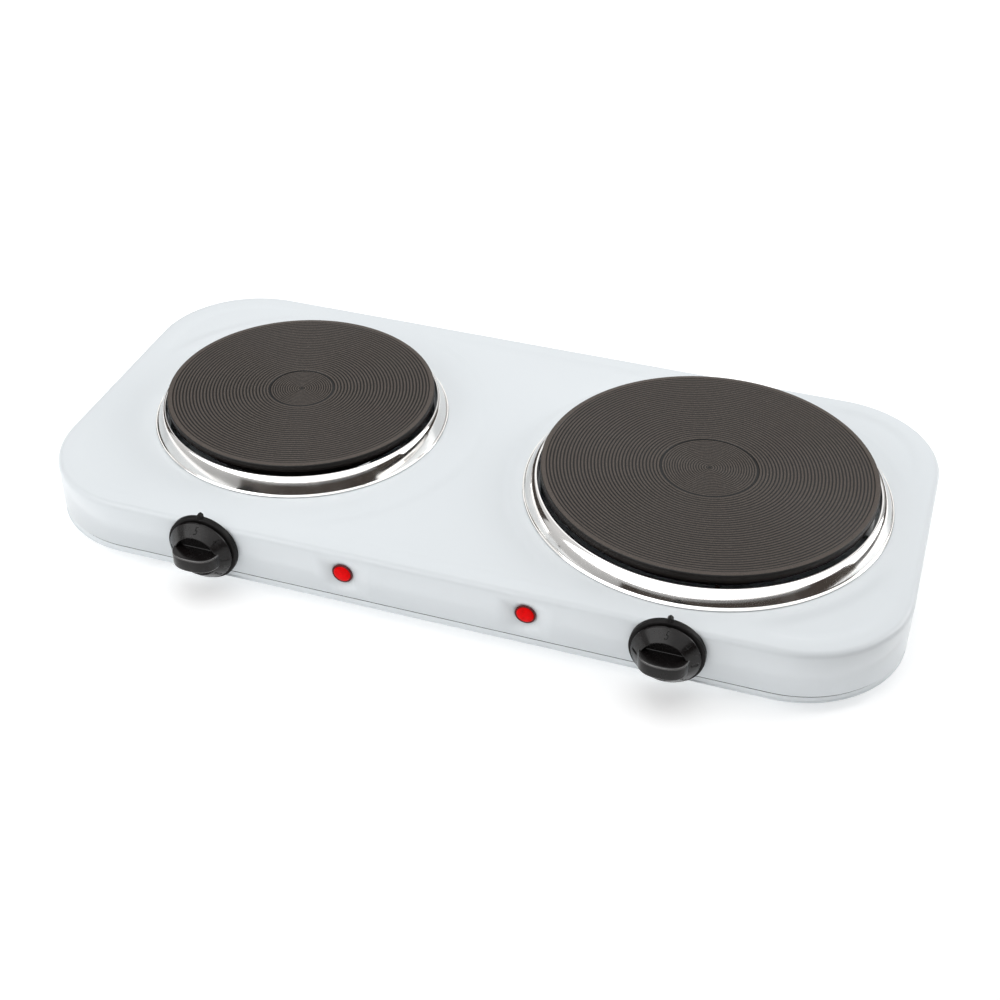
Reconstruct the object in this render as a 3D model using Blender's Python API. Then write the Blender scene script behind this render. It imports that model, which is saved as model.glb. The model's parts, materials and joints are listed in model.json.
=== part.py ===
"""Double electric hot plate: a pressed-steel housing with a small and a large cast-iron plate, each
with its thermostat knob and indicator lamp.

Units are metres. +Z is up, +X runs along the housing to the large plate and -Y is the control side.
The origin is on the floor, under the middle of the whole appliance.
"""

import math

import bmesh
import bpy
from mathutils import Matrix, Vector

MM = 0.001

# Driving dimensions: housing and base
HOUSING_LENGTH = 484 * MM
HOUSING_DEPTH = 235 * MM
CORNER_RADIUS = 61 * MM
FOLD_RADIUS = 5 * MM
SHEET = 1.0 * MM
SKIRT_HEIGHT = 28 * MM
SEAM_GAP = 0.5 * MM
PAN_BAND_HEIGHT = 4.3 * MM
PAN_INSET = 0.5 * MM
PAN_RIM_HEIGHT = 3.5 * MM
PAN_RIM_THICKNESS = 1.0 * MM
PAN_EDGE = 0.6 * MM
FOOT_HEIGHT = 7 * MM
FOOT_RADIUS = 9 * MM
FOOT_STEM_RADIUS = 3.2 * MM
FOOT_EDGE = 1.2 * MM
FOOT_INSET = Vector((40, 38)) * MM
VENT_WIDTH = 5 * MM
VENT_LENGTH = 50 * MM
VENT_PITCH = 18 * MM
VENTS = 5
CLEARANCE = 0.3 * MM
CUT_REACH = 2 * MM

# Driving dimensions: deck embossing
BORDER_WIDTH = 9.5 * MM
POCKET_DEPTH = 1.0 * MM
NECK_WIDTH = 6 * MM

# Driving dimensions: burners
BURNER_SPACING = 242 * MM
PLATE_HEIGHT_OVER_DECK = 16 * MM
PLATE_WALL = 4 * MM
PLATE_SKIRT_INSET = 7 * MM
PLATE_SKIRT_BOTTOM = 4 * MM
PLATE_CHAMFER = 0.8 * MM
PLATE_WEB = 0.5 * MM
PLATE_BOSS_RADIUS = 9 * MM
PLATE_BOSS_DEPTH = 3 * MM
HOLE_LEDGE = 2 * MM
RING_GAP = 1.5 * MM
RING_SHEET = 0.6 * MM
RING_LIP = 2.2 * MM
RING_HEM = 3 * MM
RING_STEPS = 4
BURNERS = {
    "left": dict(
        side=-1, radius=77.5 * MM, rim=4.6 * MM,
        ring_width=6.5 * MM, ring_top=10.2 * MM, surround_margin=20.5 * MM,
    ),
    "right": dict(
        side=1, radius=92.5 * MM, rim=5.5 * MM,
        ring_width=8 * MM, ring_top=9.2 * MM, surround_margin=6 * MM,
    ),
}
ELEMENT_THICKNESS = 4 * MM
ELEMENT_MARGIN = 1 * MM
ELEMENT_BOSS_GAP = 3 * MM
STUD_RADIUS = 3 * MM
STUD_TAIL = 3 * MM
CLAMP_NUT_FLATS = 10 * MM
CLAMP_NUT_THICKNESS = 5 * MM
BRIDGE_WIDTH = 20 * MM
BRIDGE_SHEET = 2 * MM
BRIDGE_DROP = 5 * MM
BRIDGE_BEARING = 9 * MM
BRIDGE_SHOULDER = 4 * MM
BRIDGE_FLAT = 14 * MM
PLATE_BLOCK_SIZE = Vector((24, 12, 9)) * MM
PLATE_BLOCK_OFFSET = 45 * MM
BLOCK_SLOT = 2 * MM
BLOCK_SLOT_DEPTH = 2.5 * MM

# Driving dimensions: controls on the front wall
KNOB_OFFSET = 128 * MM
KNOB_DROP = 13.5 * MM
BEZEL_RADIUS = 19.8 * MM
BEZEL_THICKNESS = 3.6 * MM
BEZEL_EDGE = 0.7 * MM
NIB_HEIGHT = 2.4 * MM
NIB_WIDTH = 2.8 * MM
NIB_TIP_WIDTH = 0.8 * MM
NIB_POINT = 1 * MM
KNOB_SKIRT_RADIUS = 18 * MM
KNOB_SKIRT_EDGE = 1.3 * MM
KNOB_WALL = 1.8 * MM
KNOB_HUB_WALL = 3.5 * MM
KNOB_GAP = 0.6 * MM
KNOB_FACE_RADIUS = 12.3 * MM
KNOB_CONE_RISE = 5.5 * MM
KNOB_WELL_DEPTH = 2.8 * MM
KNOB_WELL_RIM = 0.6 * MM
GRIP_RADIUS = 13.3 * MM
GRIP_RISE = 8.6 * MM
GRIP_THICKNESS = 8.2 * MM
GRIP_FULLNESS = 2.6
GRIP_SINK = 1.5 * MM
SHAFT_RADIUS = 3 * MM
SHAFT_FLAT = 1.8 * MM
SHAFT_GRIP = 7 * MM
SHAFT_DEPTH = 8 * MM
BUSHING_WALL = 1.2 * MM
BUSHING_PROUD = 0.7 * MM
NUT_WALL = 0.8 * MM
NUT_THICKNESS = 2 * MM
THERMOSTAT_SIZE = Vector((30, 24, 21)) * MM
THERMOSTAT_STANDOFF = 2 * MM
TAG_OFFSET = 8 * MM
TAG_LENGTH = 7 * MM
TAG_WIDTH = 6.3 * MM
TAG_SHEET = 0.8 * MM
LAMP_OFFSET = 50.5 * MM
LAMP_SHIFT = 2.6 * MM
LAMP_DROP = 12 * MM
LAMP_RADIUS = 5.7 * MM
LAMP_HEAD = 1.4 * MM
LAMP_BARREL_RADIUS = 4 * MM
LAMP_BARREL_LENGTH = 9 * MM
LAMP_CLIP_SHEET = 1.2 * MM
BULB_RADIUS = 3 * MM
BULB_LENGTH = 13 * MM
BULB_TIP = 3 * MM

# Driving dimensions: mains inlet and inside parts
INLET_DROP = 16 * MM
INLET_BORE_RADIUS = 3.8 * MM
INLET_NECK_RADIUS = 6 * MM
INLET_FLANGE_RADIUS = 9 * MM
INLET_FLANGE = 2 * MM
INLET_LUG = 2 * MM
TAB_CORNER_MARGIN = 16 * MM
TAB_WIDTH = 16 * MM
TAB_DEPTH = 14 * MM
TAB_HEIGHT = 14 * MM
SCREW_RADIUS = 1.7 * MM
SCREW_HEAD_RADIUS = 3.6 * MM
SCREW_HEAD = 1.6 * MM
SCREW_TAIL = 3 * MM
SCREW_TIP = 1 * MM
MAINS_BLOCK_SIZE = Vector((34, 16, 12)) * MM
MAINS_BLOCK_SETBACK = 45 * MM
MAINS_SLOT_DEPTH = 3.5 * MM
EARTH_OFFSET = 40 * MM
EARTH_STUD_RADIUS = 2 * MM
EARTH_STUD_LENGTH = 12 * MM
EARTH_HEAD_RADIUS = 5 * MM
EARTH_HEAD = 1.2 * MM
EARTH_NUT_FLATS = 7 * MM
EARTH_NUT_THICKNESS = 3.2 * MM
LEAD_RADIUS = 1.3 * MM
LEAD_STUB = 6 * MM
LEAD_HEIGHT = 6 * MM

# Round pieces: sides of the polygons that stand for circles
BIG_SIDES = 40
MEDIUM_SIDES = 28
SMALL_SIDES = 12
CORNER_STEPS = 7
FOLD_STEPS = 3
GRIP_STEPS = 20

# Heights and places that follow from the driving dimensions
PAN_BOTTOM = FOOT_HEIGHT
PAN_FLOOR = PAN_BOTTOM + SHEET
SKIRT_BOTTOM = PAN_BOTTOM + PAN_BAND_HEIGHT + SEAM_GAP
DECK = SKIRT_BOTTOM + SKIRT_HEIGHT
PLATE_TOP = DECK + PLATE_HEIGHT_OVER_DECK
KNOB_BACK = CLEARANCE + BEZEL_THICKNESS + KNOB_GAP
KNOB_FACE = KNOB_BACK + KNOB_SKIRT_EDGE + KNOB_CONE_RISE
KNOB_FRONT = KNOB_FACE + GRIP_RISE
REAR_REACH = CLEARANCE + INLET_FLANGE
HOUSING_Y = (KNOB_FRONT - REAR_REACH) / 2
FRONT_WALL = HOUSING_Y - HOUSING_DEPTH / 2
REAR_WALL = HOUSING_Y + HOUSING_DEPTH / 2
KNOB_AXIS_Z = DECK - KNOB_DROP
LAMP_Z = DECK - LAMP_DROP
INLET_Z = DECK - INLET_DROP
BUSHING_RADIUS = SHAFT_RADIUS + CLEARANCE + BUSHING_WALL
NUT_FLATS = 2 * (BUSHING_RADIUS + CLEARANCE + NUT_WALL)
SHAFT_END = KNOB_BACK + SHAFT_GRIP
TAB_OFFSET = HOUSING_LENGTH / 2 - CORNER_RADIUS - TAB_CORNER_MARGIN
TAB_BOTTOM = PAN_BOTTOM + PAN_BAND_HEIGHT + PAN_RIM_HEIGHT + 2 * CLEARANCE
COVER_TOP = DECK + PLATE_SKIRT_BOTTOM - CLEARANCE
PLATE_BLOCK_TOP = COVER_TOP - SHEET - CLEARANCE
HOUSING_PLACE = (0, HOUSING_Y, 0)
FACING_FRONT = (math.pi / 2, 0, 0)
FACING_REAR = (-math.pi / 2, 0, 0)


# Scene and material helpers


def clear_scene():
    for obj in list(bpy.data.objects):
        bpy.data.objects.remove(obj, do_unlink=True)


def make_material(name, color, roughness, metallic=0.0):
    material = bpy.data.materials.new(name)
    material.use_nodes = True
    shader = material.node_tree.nodes["Principled BSDF"]
    shader.inputs["Base Color"].default_value = (*color, 1)
    shader.inputs["Roughness"].default_value = roughness
    shader.inputs["Metallic"].default_value = metallic
    return material


def make_materials():
    return {
        "white_enamel": make_material("white_enamel", (0.78, 0.81, 0.83), 0.35),
        "cast_iron": make_material("cast_iron", (0.030, 0.028, 0.026), 0.6, 0.3),
        "stainless": make_material("stainless", (0.72, 0.71, 0.69), 0.12, 1.0),
        "black_plastic": make_material("black_plastic", (0.012, 0.011, 0.011), 0.3),
        "red_lens": make_material("red_lens", (0.75, 0.01, 0.01), 0.15),
        "clear_glass": make_material("clear_glass", (0.8, 0.75, 0.7), 0.1),
        "ceramic": make_material("ceramic", (0.80, 0.77, 0.70), 0.5),
        "zinc_steel": make_material("zinc_steel", (0.55, 0.55, 0.54), 0.35, 1.0),
        "brass": make_material("brass", (0.70, 0.50, 0.22), 0.3, 1.0),
        "rubber": make_material("rubber", (0.025, 0.025, 0.025), 0.8),
        "brown_lead": make_material("brown_lead", (0.12, 0.05, 0.02), 0.5),
        "blue_lead": make_material("blue_lead", (0.03, 0.09, 0.35), 0.5),
    }


def add_object(name, mesh_builder, material, location=(0, 0, 0), rotation=(0, 0, 0)):
    """One object from a bmesh, with its faces pointing out and its round faces smooth."""
    bmesh.ops.recalc_face_normals(mesh_builder, faces=mesh_builder.faces)
    mesh = bpy.data.meshes.new(name)
    mesh_builder.to_mesh(mesh)
    mesh_builder.free()
    mesh.shade_smooth()
    mesh.set_sharp_from_angle(angle=math.radians(35))
    obj = bpy.data.objects.new(name, mesh)
    obj.location = location
    obj.rotation_euler = rotation
    if material:
        obj.data.materials.append(material)
    bpy.context.scene.collection.objects.link(obj)
    return obj


def combine(obj, other, operation):
    """Adds an exact Boolean and hides its second shape from the finished model."""
    other.hide_render = True
    other.display_type = "WIRE"
    modifier = obj.modifiers.new(operation.title(), "BOOLEAN")
    modifier.operation = operation
    modifier.solver = "EXACT"
    modifier.object = other


def cut(obj, cutter):
    combine(obj, cutter, "DIFFERENCE")


def join(obj, addition):
    combine(obj, addition, "UNION")


# Shape helpers, each returning a bmesh


def turned(profile, sides):
    """Spins a closed (radius, height) outline round Z. Outlines may touch the axis."""
    shape = bmesh.new()
    points = [shape.verts.new((radius, 0, height)) for radius, height in profile]
    edges = [shape.edges.new((a, b)) for a, b in zip(points, points[1:] + points[:1])]
    bmesh.ops.spin(
        shape, geom=points + edges, axis=(0, 0, 1), cent=(0, 0, 0),
        angle=math.tau, steps=sides, use_merge=True,
    )
    bmesh.ops.remove_doubles(shape, verts=shape.verts, dist=0.001 * MM)
    on_axis = [e for e in shape.edges if all(v.co.xy.length < 0.001 * MM for v in e.verts)]
    bmesh.ops.delete(shape, geom=on_axis, context="EDGES")
    return shape


def rod(radius, bottom, top, sides=SMALL_SIDES):
    return turned([(0, bottom), (radius, bottom), (radius, top), (0, top)], sides)


def tube(inner, outer, bottom, top, sides=SMALL_SIDES):
    return turned([(inner, bottom), (outer, bottom), (outer, top), (inner, top)], sides)


def prism(outline, bottom, top):
    """Extrudes a closed XY outline upwards."""
    shape = bmesh.new()
    face = shape.faces.new([shape.verts.new((x, y, bottom)) for x, y in outline])
    result = bmesh.ops.extrude_face_region(shape, geom=[face])
    moved = [item for item in result["geom"] if isinstance(item, bmesh.types.BMVert)]
    bmesh.ops.translate(shape, verts=moved, vec=(0, 0, top - bottom))
    return shape


def block(size, center=(0, 0, 0)):
    shape = bmesh.new()
    bmesh.ops.create_cube(shape, size=1, matrix=Matrix.Translation(center) @ Matrix.Diagonal((*size, 1)))
    return shape


def arc(center, radius, start, end, steps):
    """Points of an arc, angles in radians, both ends included."""
    turns = [start + (end - start) * step / steps for step in range(steps + 1)]
    return [(center[0] + radius * math.cos(t), center[1] + radius * math.sin(t)) for t in turns]


def rounded_rectangle(length, depth, radius, steps=CORNER_STEPS):
    outline = []
    for corner, (sx, sy) in enumerate(((1, 1), (-1, 1), (-1, -1), (1, -1))):
        center = (sx * (length / 2 - radius), sy * (depth / 2 - radius))
        start = corner * math.pi / 2
        outline += arc(center, radius, start, start + math.pi / 2, steps)
    return outline


def housing_outline(inset):
    return rounded_rectangle(HOUSING_LENGTH - 2 * inset, HOUSING_DEPTH - 2 * inset, CORNER_RADIUS - inset)


def lofted(sections):
    """Bridges housing outlines given as (inset, height) and closes both ends with flat faces."""
    shape = bmesh.new()
    loops = [[shape.verts.new((x, y, z)) for x, y in housing_outline(inset)] for inset, z in sections]
    for lower, upper in zip(loops, loops[1:]):
        for i in range(len(lower)):
            shape.faces.new((lower[i - 1], lower[i], upper[i], upper[i - 1]))
    shape.faces.new(loops[0])
    shape.faces.new(loops[-1])
    return shape


def hexagon(across_flats):
    corner_radius = across_flats / math.sqrt(3)
    return arc((0, 0), corner_radius, 0, math.tau * 5 / 6, 5)


def d_outline(radius, flat):
    """A circle with its top cut flat at the given height."""
    start = math.asin(flat / radius)
    return arc((0, 0), radius, math.pi - start, math.tau + start, SMALL_SIDES - 4)


# Housing and base


def fold_sections(inset, top, radius):
    """The (inset, height) steps of the rounded fold from a vertical wall up to the deck."""
    sections = []
    for step in range(FOLD_STEPS + 1):
        angle = math.pi / 2 * step / FOLD_STEPS
        sections.append((inset + radius * (1 - math.cos(angle)), top - radius * (1 - math.sin(angle))))
    return sections


def ring_radius(burner):
    return burner["radius"] + RING_GAP + burner["ring_width"]


def burner_hole_radius(burner):
    return burner["radius"] + RING_GAP - HOLE_LEDGE


def neck_half_length(limit, surround):
    """How far along a border the gap between it and a round surround stays narrower than a neck."""
    return math.sqrt(max(surround**2 - (limit - NECK_WIDTH) ** 2, 0))


def deck_pockets(name, grow, bottom, top):
    """The recessed deck areas: inside the border, outside the burner surrounds, without narrow necks."""
    pockets = add_object(name, prism(housing_outline(BORDER_WIDTH - grow), bottom, top), None, HOUSING_PLACE)
    middle = (top + bottom) / 2
    tall = 2 * (top - bottom + CUT_REACH)
    for side_name, burner in BURNERS.items():
        sx = burner["side"]
        center = sx * BURNER_SPACING / 2
        surround = ring_radius(burner) + burner["surround_margin"]
        disc = rod(surround - grow, middle - tall / 2, middle + tall / 2, BIG_SIDES)
        cut(pockets, add_object(f"{name}_{side_name}_surround", disc, None, (center, HOUSING_Y, 0)))
        half = neck_half_length(HOUSING_DEPTH / 2 - BORDER_WIDTH, surround) - grow
        if half > 0:
            across = block((2 * half, HOUSING_DEPTH, tall))
            cut(pockets, add_object(f"{name}_{side_name}_necks", across, None, (center, HOUSING_Y, middle)))
        half = neck_half_length(HOUSING_LENGTH / 2 - BURNER_SPACING / 2 - BORDER_WIDTH, surround) - grow
        if half > 0:
            along = block((HOUSING_LENGTH / 2, 2 * half, tall))
            place = (center + sx * HOUSING_LENGTH / 4, HOUSING_Y, middle)
            cut(pockets, add_object(f"{name}_{side_name}_end_neck", along, None, place))
    return pockets


def wall_hole(housing, name, radius, place, facing):
    hole = rod(radius, -SHEET - CUT_REACH, CUT_REACH)
    cut(housing, add_object(f"{name}_hole", hole, None, place, facing))


def top_housing(materials):
    underside = DECK - SHEET
    inner = fold_sections(SHEET, underside, FOLD_RADIUS - SHEET)
    outer = fold_sections(0, DECK, FOLD_RADIUS)
    sections = inner[::-1] + [(SHEET, SKIRT_BOTTOM), (0, SKIRT_BOTTOM)] + outer
    housing = add_object("top_housing", lofted(sections), materials["white_enamel"], HOUSING_PLACE)
    join(housing, deck_pockets("pocket_pads", SHEET, underside - POCKET_DEPTH, DECK - SHEET / 2))
    cut(housing, deck_pockets("pocket_cuts", 0, DECK - POCKET_DEPTH, DECK + CUT_REACH))
    for side_name, burner in BURNERS.items():
        sx = burner["side"]
        hole = rod(burner_hole_radius(burner), underside - 2 * CUT_REACH, DECK + CUT_REACH, BIG_SIDES)
        place = (sx * BURNER_SPACING / 2, HOUSING_Y, 0)
        cut(housing, add_object(f"{side_name}_burner_hole", hole, None, place))
        knob_place = (sx * KNOB_OFFSET, FRONT_WALL, KNOB_AXIS_Z)
        wall_hole(housing, f"{side_name}_bushing", BUSHING_RADIUS + CLEARANCE, knob_place, FACING_FRONT)
        lamp_place = (sx * LAMP_OFFSET + LAMP_SHIFT, FRONT_WALL, LAMP_Z)
        wall_hole(housing, f"{side_name}_lamp", LAMP_BARREL_RADIUS + CLEARANCE, lamp_place, FACING_FRONT)
    wall_hole(housing, "inlet", INLET_NECK_RADIUS + CLEARANCE, (0, REAR_WALL, INLET_Z), FACING_REAR)


def foot_places():
    for row, sy in (("front", -1), ("rear", 1)):
        for side, sx in (("left", -1), ("right", 1)):
            x = sx * (HOUSING_LENGTH / 2 - FOOT_INSET.x)
            y = HOUSING_Y + sy * (HOUSING_DEPTH / 2 - FOOT_INSET.y)
            yield f"{row}_{side}", x, y


def tab_places():
    """Name, position on the inner face of a long wall, and which way that wall faces."""
    for row, sy in (("front", -1), ("rear", 1)):
        for side, sx in (("left", -1), ("right", 1)):
            wall = HOUSING_Y + sy * (HOUSING_DEPTH / 2 - SHEET - CLEARANCE)
            yield f"{row}_{side}", sx * TAB_OFFSET, wall, sy


def screw_y(wall, sy):
    return wall - sy * (SHEET + TAB_DEPTH) / 2


def base_pan(materials):
    rim_outer = SHEET + CLEARANCE
    rim_inner = rim_outer + PAN_RIM_THICKNESS
    band_top = PAN_BOTTOM + PAN_BAND_HEIGHT
    rim_top = band_top + PAN_RIM_HEIGHT
    sections = [
        (PAN_INSET + PAN_EDGE, PAN_BOTTOM), (PAN_INSET, PAN_BOTTOM + PAN_EDGE), (PAN_INSET, band_top),
        (rim_outer, band_top), (rim_outer, rim_top), (rim_inner, rim_top), (rim_inner, PAN_FLOOR),
    ]
    pan = add_object("base_pan", lofted(sections), materials["white_enamel"], HOUSING_PLACE)
    below = PAN_BOTTOM - CUT_REACH
    above = PAN_FLOOR + CUT_REACH
    for name, x, y in foot_places():
        hole = rod(FOOT_STEM_RADIUS + CLEARANCE, below, above)
        cut(pan, add_object(f"{name}_foot_hole", hole, None, (x, y, 0)))
    for name, x, wall, sy in tab_places():
        hole = rod(SCREW_RADIUS + CLEARANCE, below, above)
        cut(pan, add_object(f"{name}_pan_screw_hole", hole, None, (x, screw_y(wall, sy), 0)))
    for side_name, burner in BURNERS.items():
        for index in range(VENTS):
            x = burner["side"] * BURNER_SPACING / 2 + (index - (VENTS - 1) / 2) * VENT_PITCH
            vent = block((VENT_WIDTH, VENT_LENGTH, above - below))
            cut(pan, add_object(f"{side_name}_vent_{index}", vent, None, (x, HOUSING_Y, (above + below) / 2)))


def feet(materials):
    shoulder = PAN_BOTTOM - CLEARANCE
    barb_bottom = PAN_FLOOR + CLEARANCE
    barb_top = barb_bottom + 3 * FOOT_EDGE
    profile = [
        (0, 0), (FOOT_RADIUS - FOOT_EDGE, 0), (FOOT_RADIUS, FOOT_EDGE), (FOOT_RADIUS - FOOT_EDGE, shoulder),
        (FOOT_STEM_RADIUS, shoulder), (FOOT_STEM_RADIUS, barb_bottom),
        (FOOT_STEM_RADIUS + FOOT_EDGE, barb_bottom + FOOT_EDGE), (FOOT_STEM_RADIUS - FOOT_EDGE, barb_top),
        (0, barb_top),
    ]
    for name, x, y in foot_places():
        add_object(f"{name}_foot", turned(profile, SMALL_SIDES), materials["rubber"], (x, y, 0))


def tabs_and_screws(materials):
    """Angle tabs behind the long walls, and the screws that hold the base pan to them."""
    angle = [
        (0, 0), (TAB_DEPTH, 0), (TAB_DEPTH, SHEET), (SHEET, SHEET), (SHEET, TAB_HEIGHT), (0, TAB_HEIGHT),
    ]
    head_top = PAN_BOTTOM - CLEARANCE
    head_bottom = head_top - SCREW_HEAD
    tail = TAB_BOTTOM + SCREW_TAIL
    screw_profile = [
        (0, head_bottom), (SCREW_HEAD_RADIUS - SCREW_HEAD / 2, head_bottom),
        (SCREW_HEAD_RADIUS, head_bottom + SCREW_HEAD / 2), (SCREW_HEAD_RADIUS, head_top),
        (SCREW_RADIUS, head_top), (SCREW_RADIUS, tail), (0, tail + SCREW_TIP),
    ]
    for name, x, wall, sy in tab_places():
        tab_shape = prism(angle, -TAB_WIDTH / 2, TAB_WIDTH / 2)
        turn = Matrix.Rotation(-sy * math.pi / 2, 4, "Z") @ Matrix.Rotation(math.pi / 2, 4, "X")
        bmesh.ops.transform(tab_shape, matrix=turn, verts=tab_shape.verts)
        tab = add_object(f"{name}_tab", tab_shape, materials["zinc_steel"], (x, wall, TAB_BOTTOM))
        hole = rod(SCREW_RADIUS + CLEARANCE, -CUT_REACH, SHEET + CUT_REACH)
        cut(tab, add_object(f"{name}_tab_hole", hole, None, (x, screw_y(wall, sy), TAB_BOTTOM)))
        place = (x, screw_y(wall, sy), 0)
        add_object(f"{name}_base_screw", turned(screw_profile, SMALL_SIDES), materials["zinc_steel"], place)


# Burners


def plate_inside(burner):
    """Radius and roof height of the hollow under a plate."""
    return burner["radius"] - PLATE_SKIRT_INSET - PLATE_WALL, PLATE_TOP - burner["rim"] - PLATE_WEB


def hot_plate(side_name, burner, place, materials):
    radius = burner["radius"]
    skirt = radius - PLATE_SKIRT_INSET
    rim_bottom = PLATE_TOP - burner["rim"]
    skirt_bottom = DECK + PLATE_SKIRT_BOTTOM
    cavity_radius, cavity_top = plate_inside(burner)
    boss_bottom = cavity_top - PLATE_BOSS_DEPTH
    profile = [
        (0, PLATE_TOP), (radius - PLATE_CHAMFER, PLATE_TOP), (radius, PLATE_TOP - PLATE_CHAMFER),
        (radius, rim_bottom), (skirt, rim_bottom), (skirt, skirt_bottom),
        (cavity_radius, skirt_bottom), (cavity_radius, cavity_top),
        (PLATE_BOSS_RADIUS, cavity_top), (PLATE_BOSS_RADIUS, boss_bottom), (0, boss_bottom),
    ]
    add_object(f"{side_name}_hot_plate", turned(profile, BIG_SIDES), materials["cast_iron"], place)


def trim_ring(side_name, burner, place, materials):
    """Pressed ring: a flat lip on the deck, and a quarter-round crown that turns down by the plate."""
    inner = burner["radius"] + RING_GAP
    outer = ring_radius(burner)
    seat = DECK + CLEARANCE
    top = DECK + burner["ring_top"]
    width = outer - RING_LIP - inner
    rise = top - seat - RING_SHEET
    crown = []
    underside = []
    for step in range(RING_STEPS + 1):
        angle = math.pi / 2 * step / RING_STEPS
        across = math.cos(angle)
        up = rise * math.sin(angle)
        crown.append((inner + width * across, seat + RING_SHEET + up))
        underside.append((inner + RING_SHEET + (width - 2 * RING_SHEET) * across, seat + up))
    lip = [(outer, seat), (outer, seat + RING_SHEET)]
    hem = [(inner, top - RING_HEM), (inner + RING_SHEET, top - RING_HEM)]
    profile = lip + crown + hem + underside[::-1]
    add_object(f"{side_name}_trim_ring", turned(profile, BIG_SIDES), materials["stainless"], place)


def element_and_cover(side_name, burner, place, materials):
    cavity_radius, cavity_top = plate_inside(burner)
    top = cavity_top - CLEARANCE
    inner = PLATE_BOSS_RADIUS + ELEMENT_BOSS_GAP
    element = tube(inner, cavity_radius - ELEMENT_MARGIN, top - ELEMENT_THICKNESS, top, MEDIUM_SIDES)
    add_object(f"{side_name}_heating_element", element, materials["ceramic"], place)
    cover_radius = cavity_radius + PLATE_WALL - ELEMENT_MARGIN
    cover = tube(STUD_RADIUS + CLEARANCE, cover_radius, COVER_TOP - SHEET, COVER_TOP, MEDIUM_SIDES)
    add_object(f"{side_name}_element_cover", cover, materials["zinc_steel"], place)


def clamp(side_name, burner, place, materials):
    """Stud in the plate's boss, and the cranked bridge and nut that pull the plate down to the deck."""
    half = burner_hole_radius(burner) + BRIDGE_BEARING
    bend = half - BRIDGE_BEARING - BRIDGE_SHOULDER
    high = DECK - SHEET - CLEARANCE
    low = high - BRIDGE_DROP
    flat = BRIDGE_FLAT
    upper = [(-half, high), (-bend, high), (-flat, low), (flat, low), (bend, high), (half, high)]
    lower = [(x, z - BRIDGE_SHEET) for x, z in upper[::-1]]
    shape = prism(upper + lower, -BRIDGE_WIDTH / 2, BRIDGE_WIDTH / 2)
    upright = Matrix.Rotation(math.pi / 2, 3, "X")
    bmesh.ops.rotate(shape, verts=shape.verts, cent=(0, 0, 0), matrix=upright)
    bridge = add_object(f"{side_name}_clamp_bridge", shape, materials["zinc_steel"], place)
    hole_radius = STUD_RADIUS + CLEARANCE
    hole = rod(hole_radius, low - BRIDGE_SHEET - CUT_REACH, low + CUT_REACH)
    cut(bridge, add_object(f"{side_name}_bridge_hole", hole, None, place))

    nut_top = low - BRIDGE_SHEET - CLEARANCE
    nut_bottom = nut_top - CLAMP_NUT_THICKNESS
    nut_shape = prism(hexagon(CLAMP_NUT_FLATS), nut_bottom, nut_top)
    nut = add_object(f"{side_name}_clamp_nut", nut_shape, materials["zinc_steel"], place)
    bore = rod(hole_radius, nut_bottom - CUT_REACH, nut_top + CUT_REACH)
    cut(nut, add_object(f"{side_name}_nut_bore", bore, None, place))
    stud_top = plate_inside(burner)[1] - PLATE_BOSS_DEPTH - CLEARANCE
    stud = rod(STUD_RADIUS, nut_bottom - STUD_TAIL, stud_top)
    add_object(f"{side_name}_center_stud", stud, materials["zinc_steel"], place)


def plate_terminal(side_name, place, materials):
    size = PLATE_BLOCK_SIZE
    body = block(size, (0, PLATE_BLOCK_OFFSET, PLATE_BLOCK_TOP - size.z / 2))
    holder = add_object(f"{side_name}_plate_terminal", body, materials["ceramic"], place)
    slot_size = (BLOCK_SLOT, size.y + CUT_REACH, 2 * BLOCK_SLOT_DEPTH)
    slot = block(slot_size, (0, PLATE_BLOCK_OFFSET, PLATE_BLOCK_TOP - size.z))
    cut(holder, add_object(f"{side_name}_terminal_slot", slot, None, place))


def burners(materials):
    for side_name, burner in BURNERS.items():
        place = (burner["side"] * BURNER_SPACING / 2, HOUSING_Y, 0)
        hot_plate(side_name, burner, place, materials)
        trim_ring(side_name, burner, place, materials)
        element_and_cover(side_name, burner, place, materials)
        clamp(side_name, burner, place, materials)
        plate_terminal(side_name, place, materials)


# Controls. Each is modelled with +Z out of the front wall and +Y up, then turned to face the front.


def bezel(side_name, place, materials):
    """Ring behind the knob, recessed over the bushing nut, with a pointer nib on its top."""
    back = CLEARANCE
    front = CLEARANCE + BEZEL_THICKNESS
    bore = BUSHING_RADIUS + CLEARANCE
    recess = NUT_FLATS / math.sqrt(3) + CLEARANCE
    recess_front = NUT_THICKNESS + 2 * CLEARANCE
    profile = [
        (recess, back), (BEZEL_RADIUS - BEZEL_EDGE, back), (BEZEL_RADIUS, back + BEZEL_EDGE),
        (BEZEL_RADIUS, front - BEZEL_EDGE), (BEZEL_RADIUS - BEZEL_EDGE, front),
        (bore, front), (bore, recess_front), (recess, recess_front),
    ]
    shape = turned(profile, MEDIUM_SIDES)
    ring = add_object(f"{side_name}_knob_bezel", shape, materials["black_plastic"], place, FACING_FRONT)
    tip = BEZEL_RADIUS + NIB_HEIGHT
    root = BEZEL_RADIUS - 2 * BEZEL_EDGE
    half = NIB_WIDTH / 2
    outline = [
        (-half, root), (half, root), (half, tip - NIB_POINT), (NIB_TIP_WIDTH / 2, tip),
        (-NIB_TIP_WIDTH / 2, tip), (-half, tip - NIB_POINT),
    ]
    nib = prism(outline, back + BEZEL_EDGE / 2, front - BEZEL_EDGE / 2)
    join(ring, add_object(f"{side_name}_nib", nib, None, place, FACING_FRONT))


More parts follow.
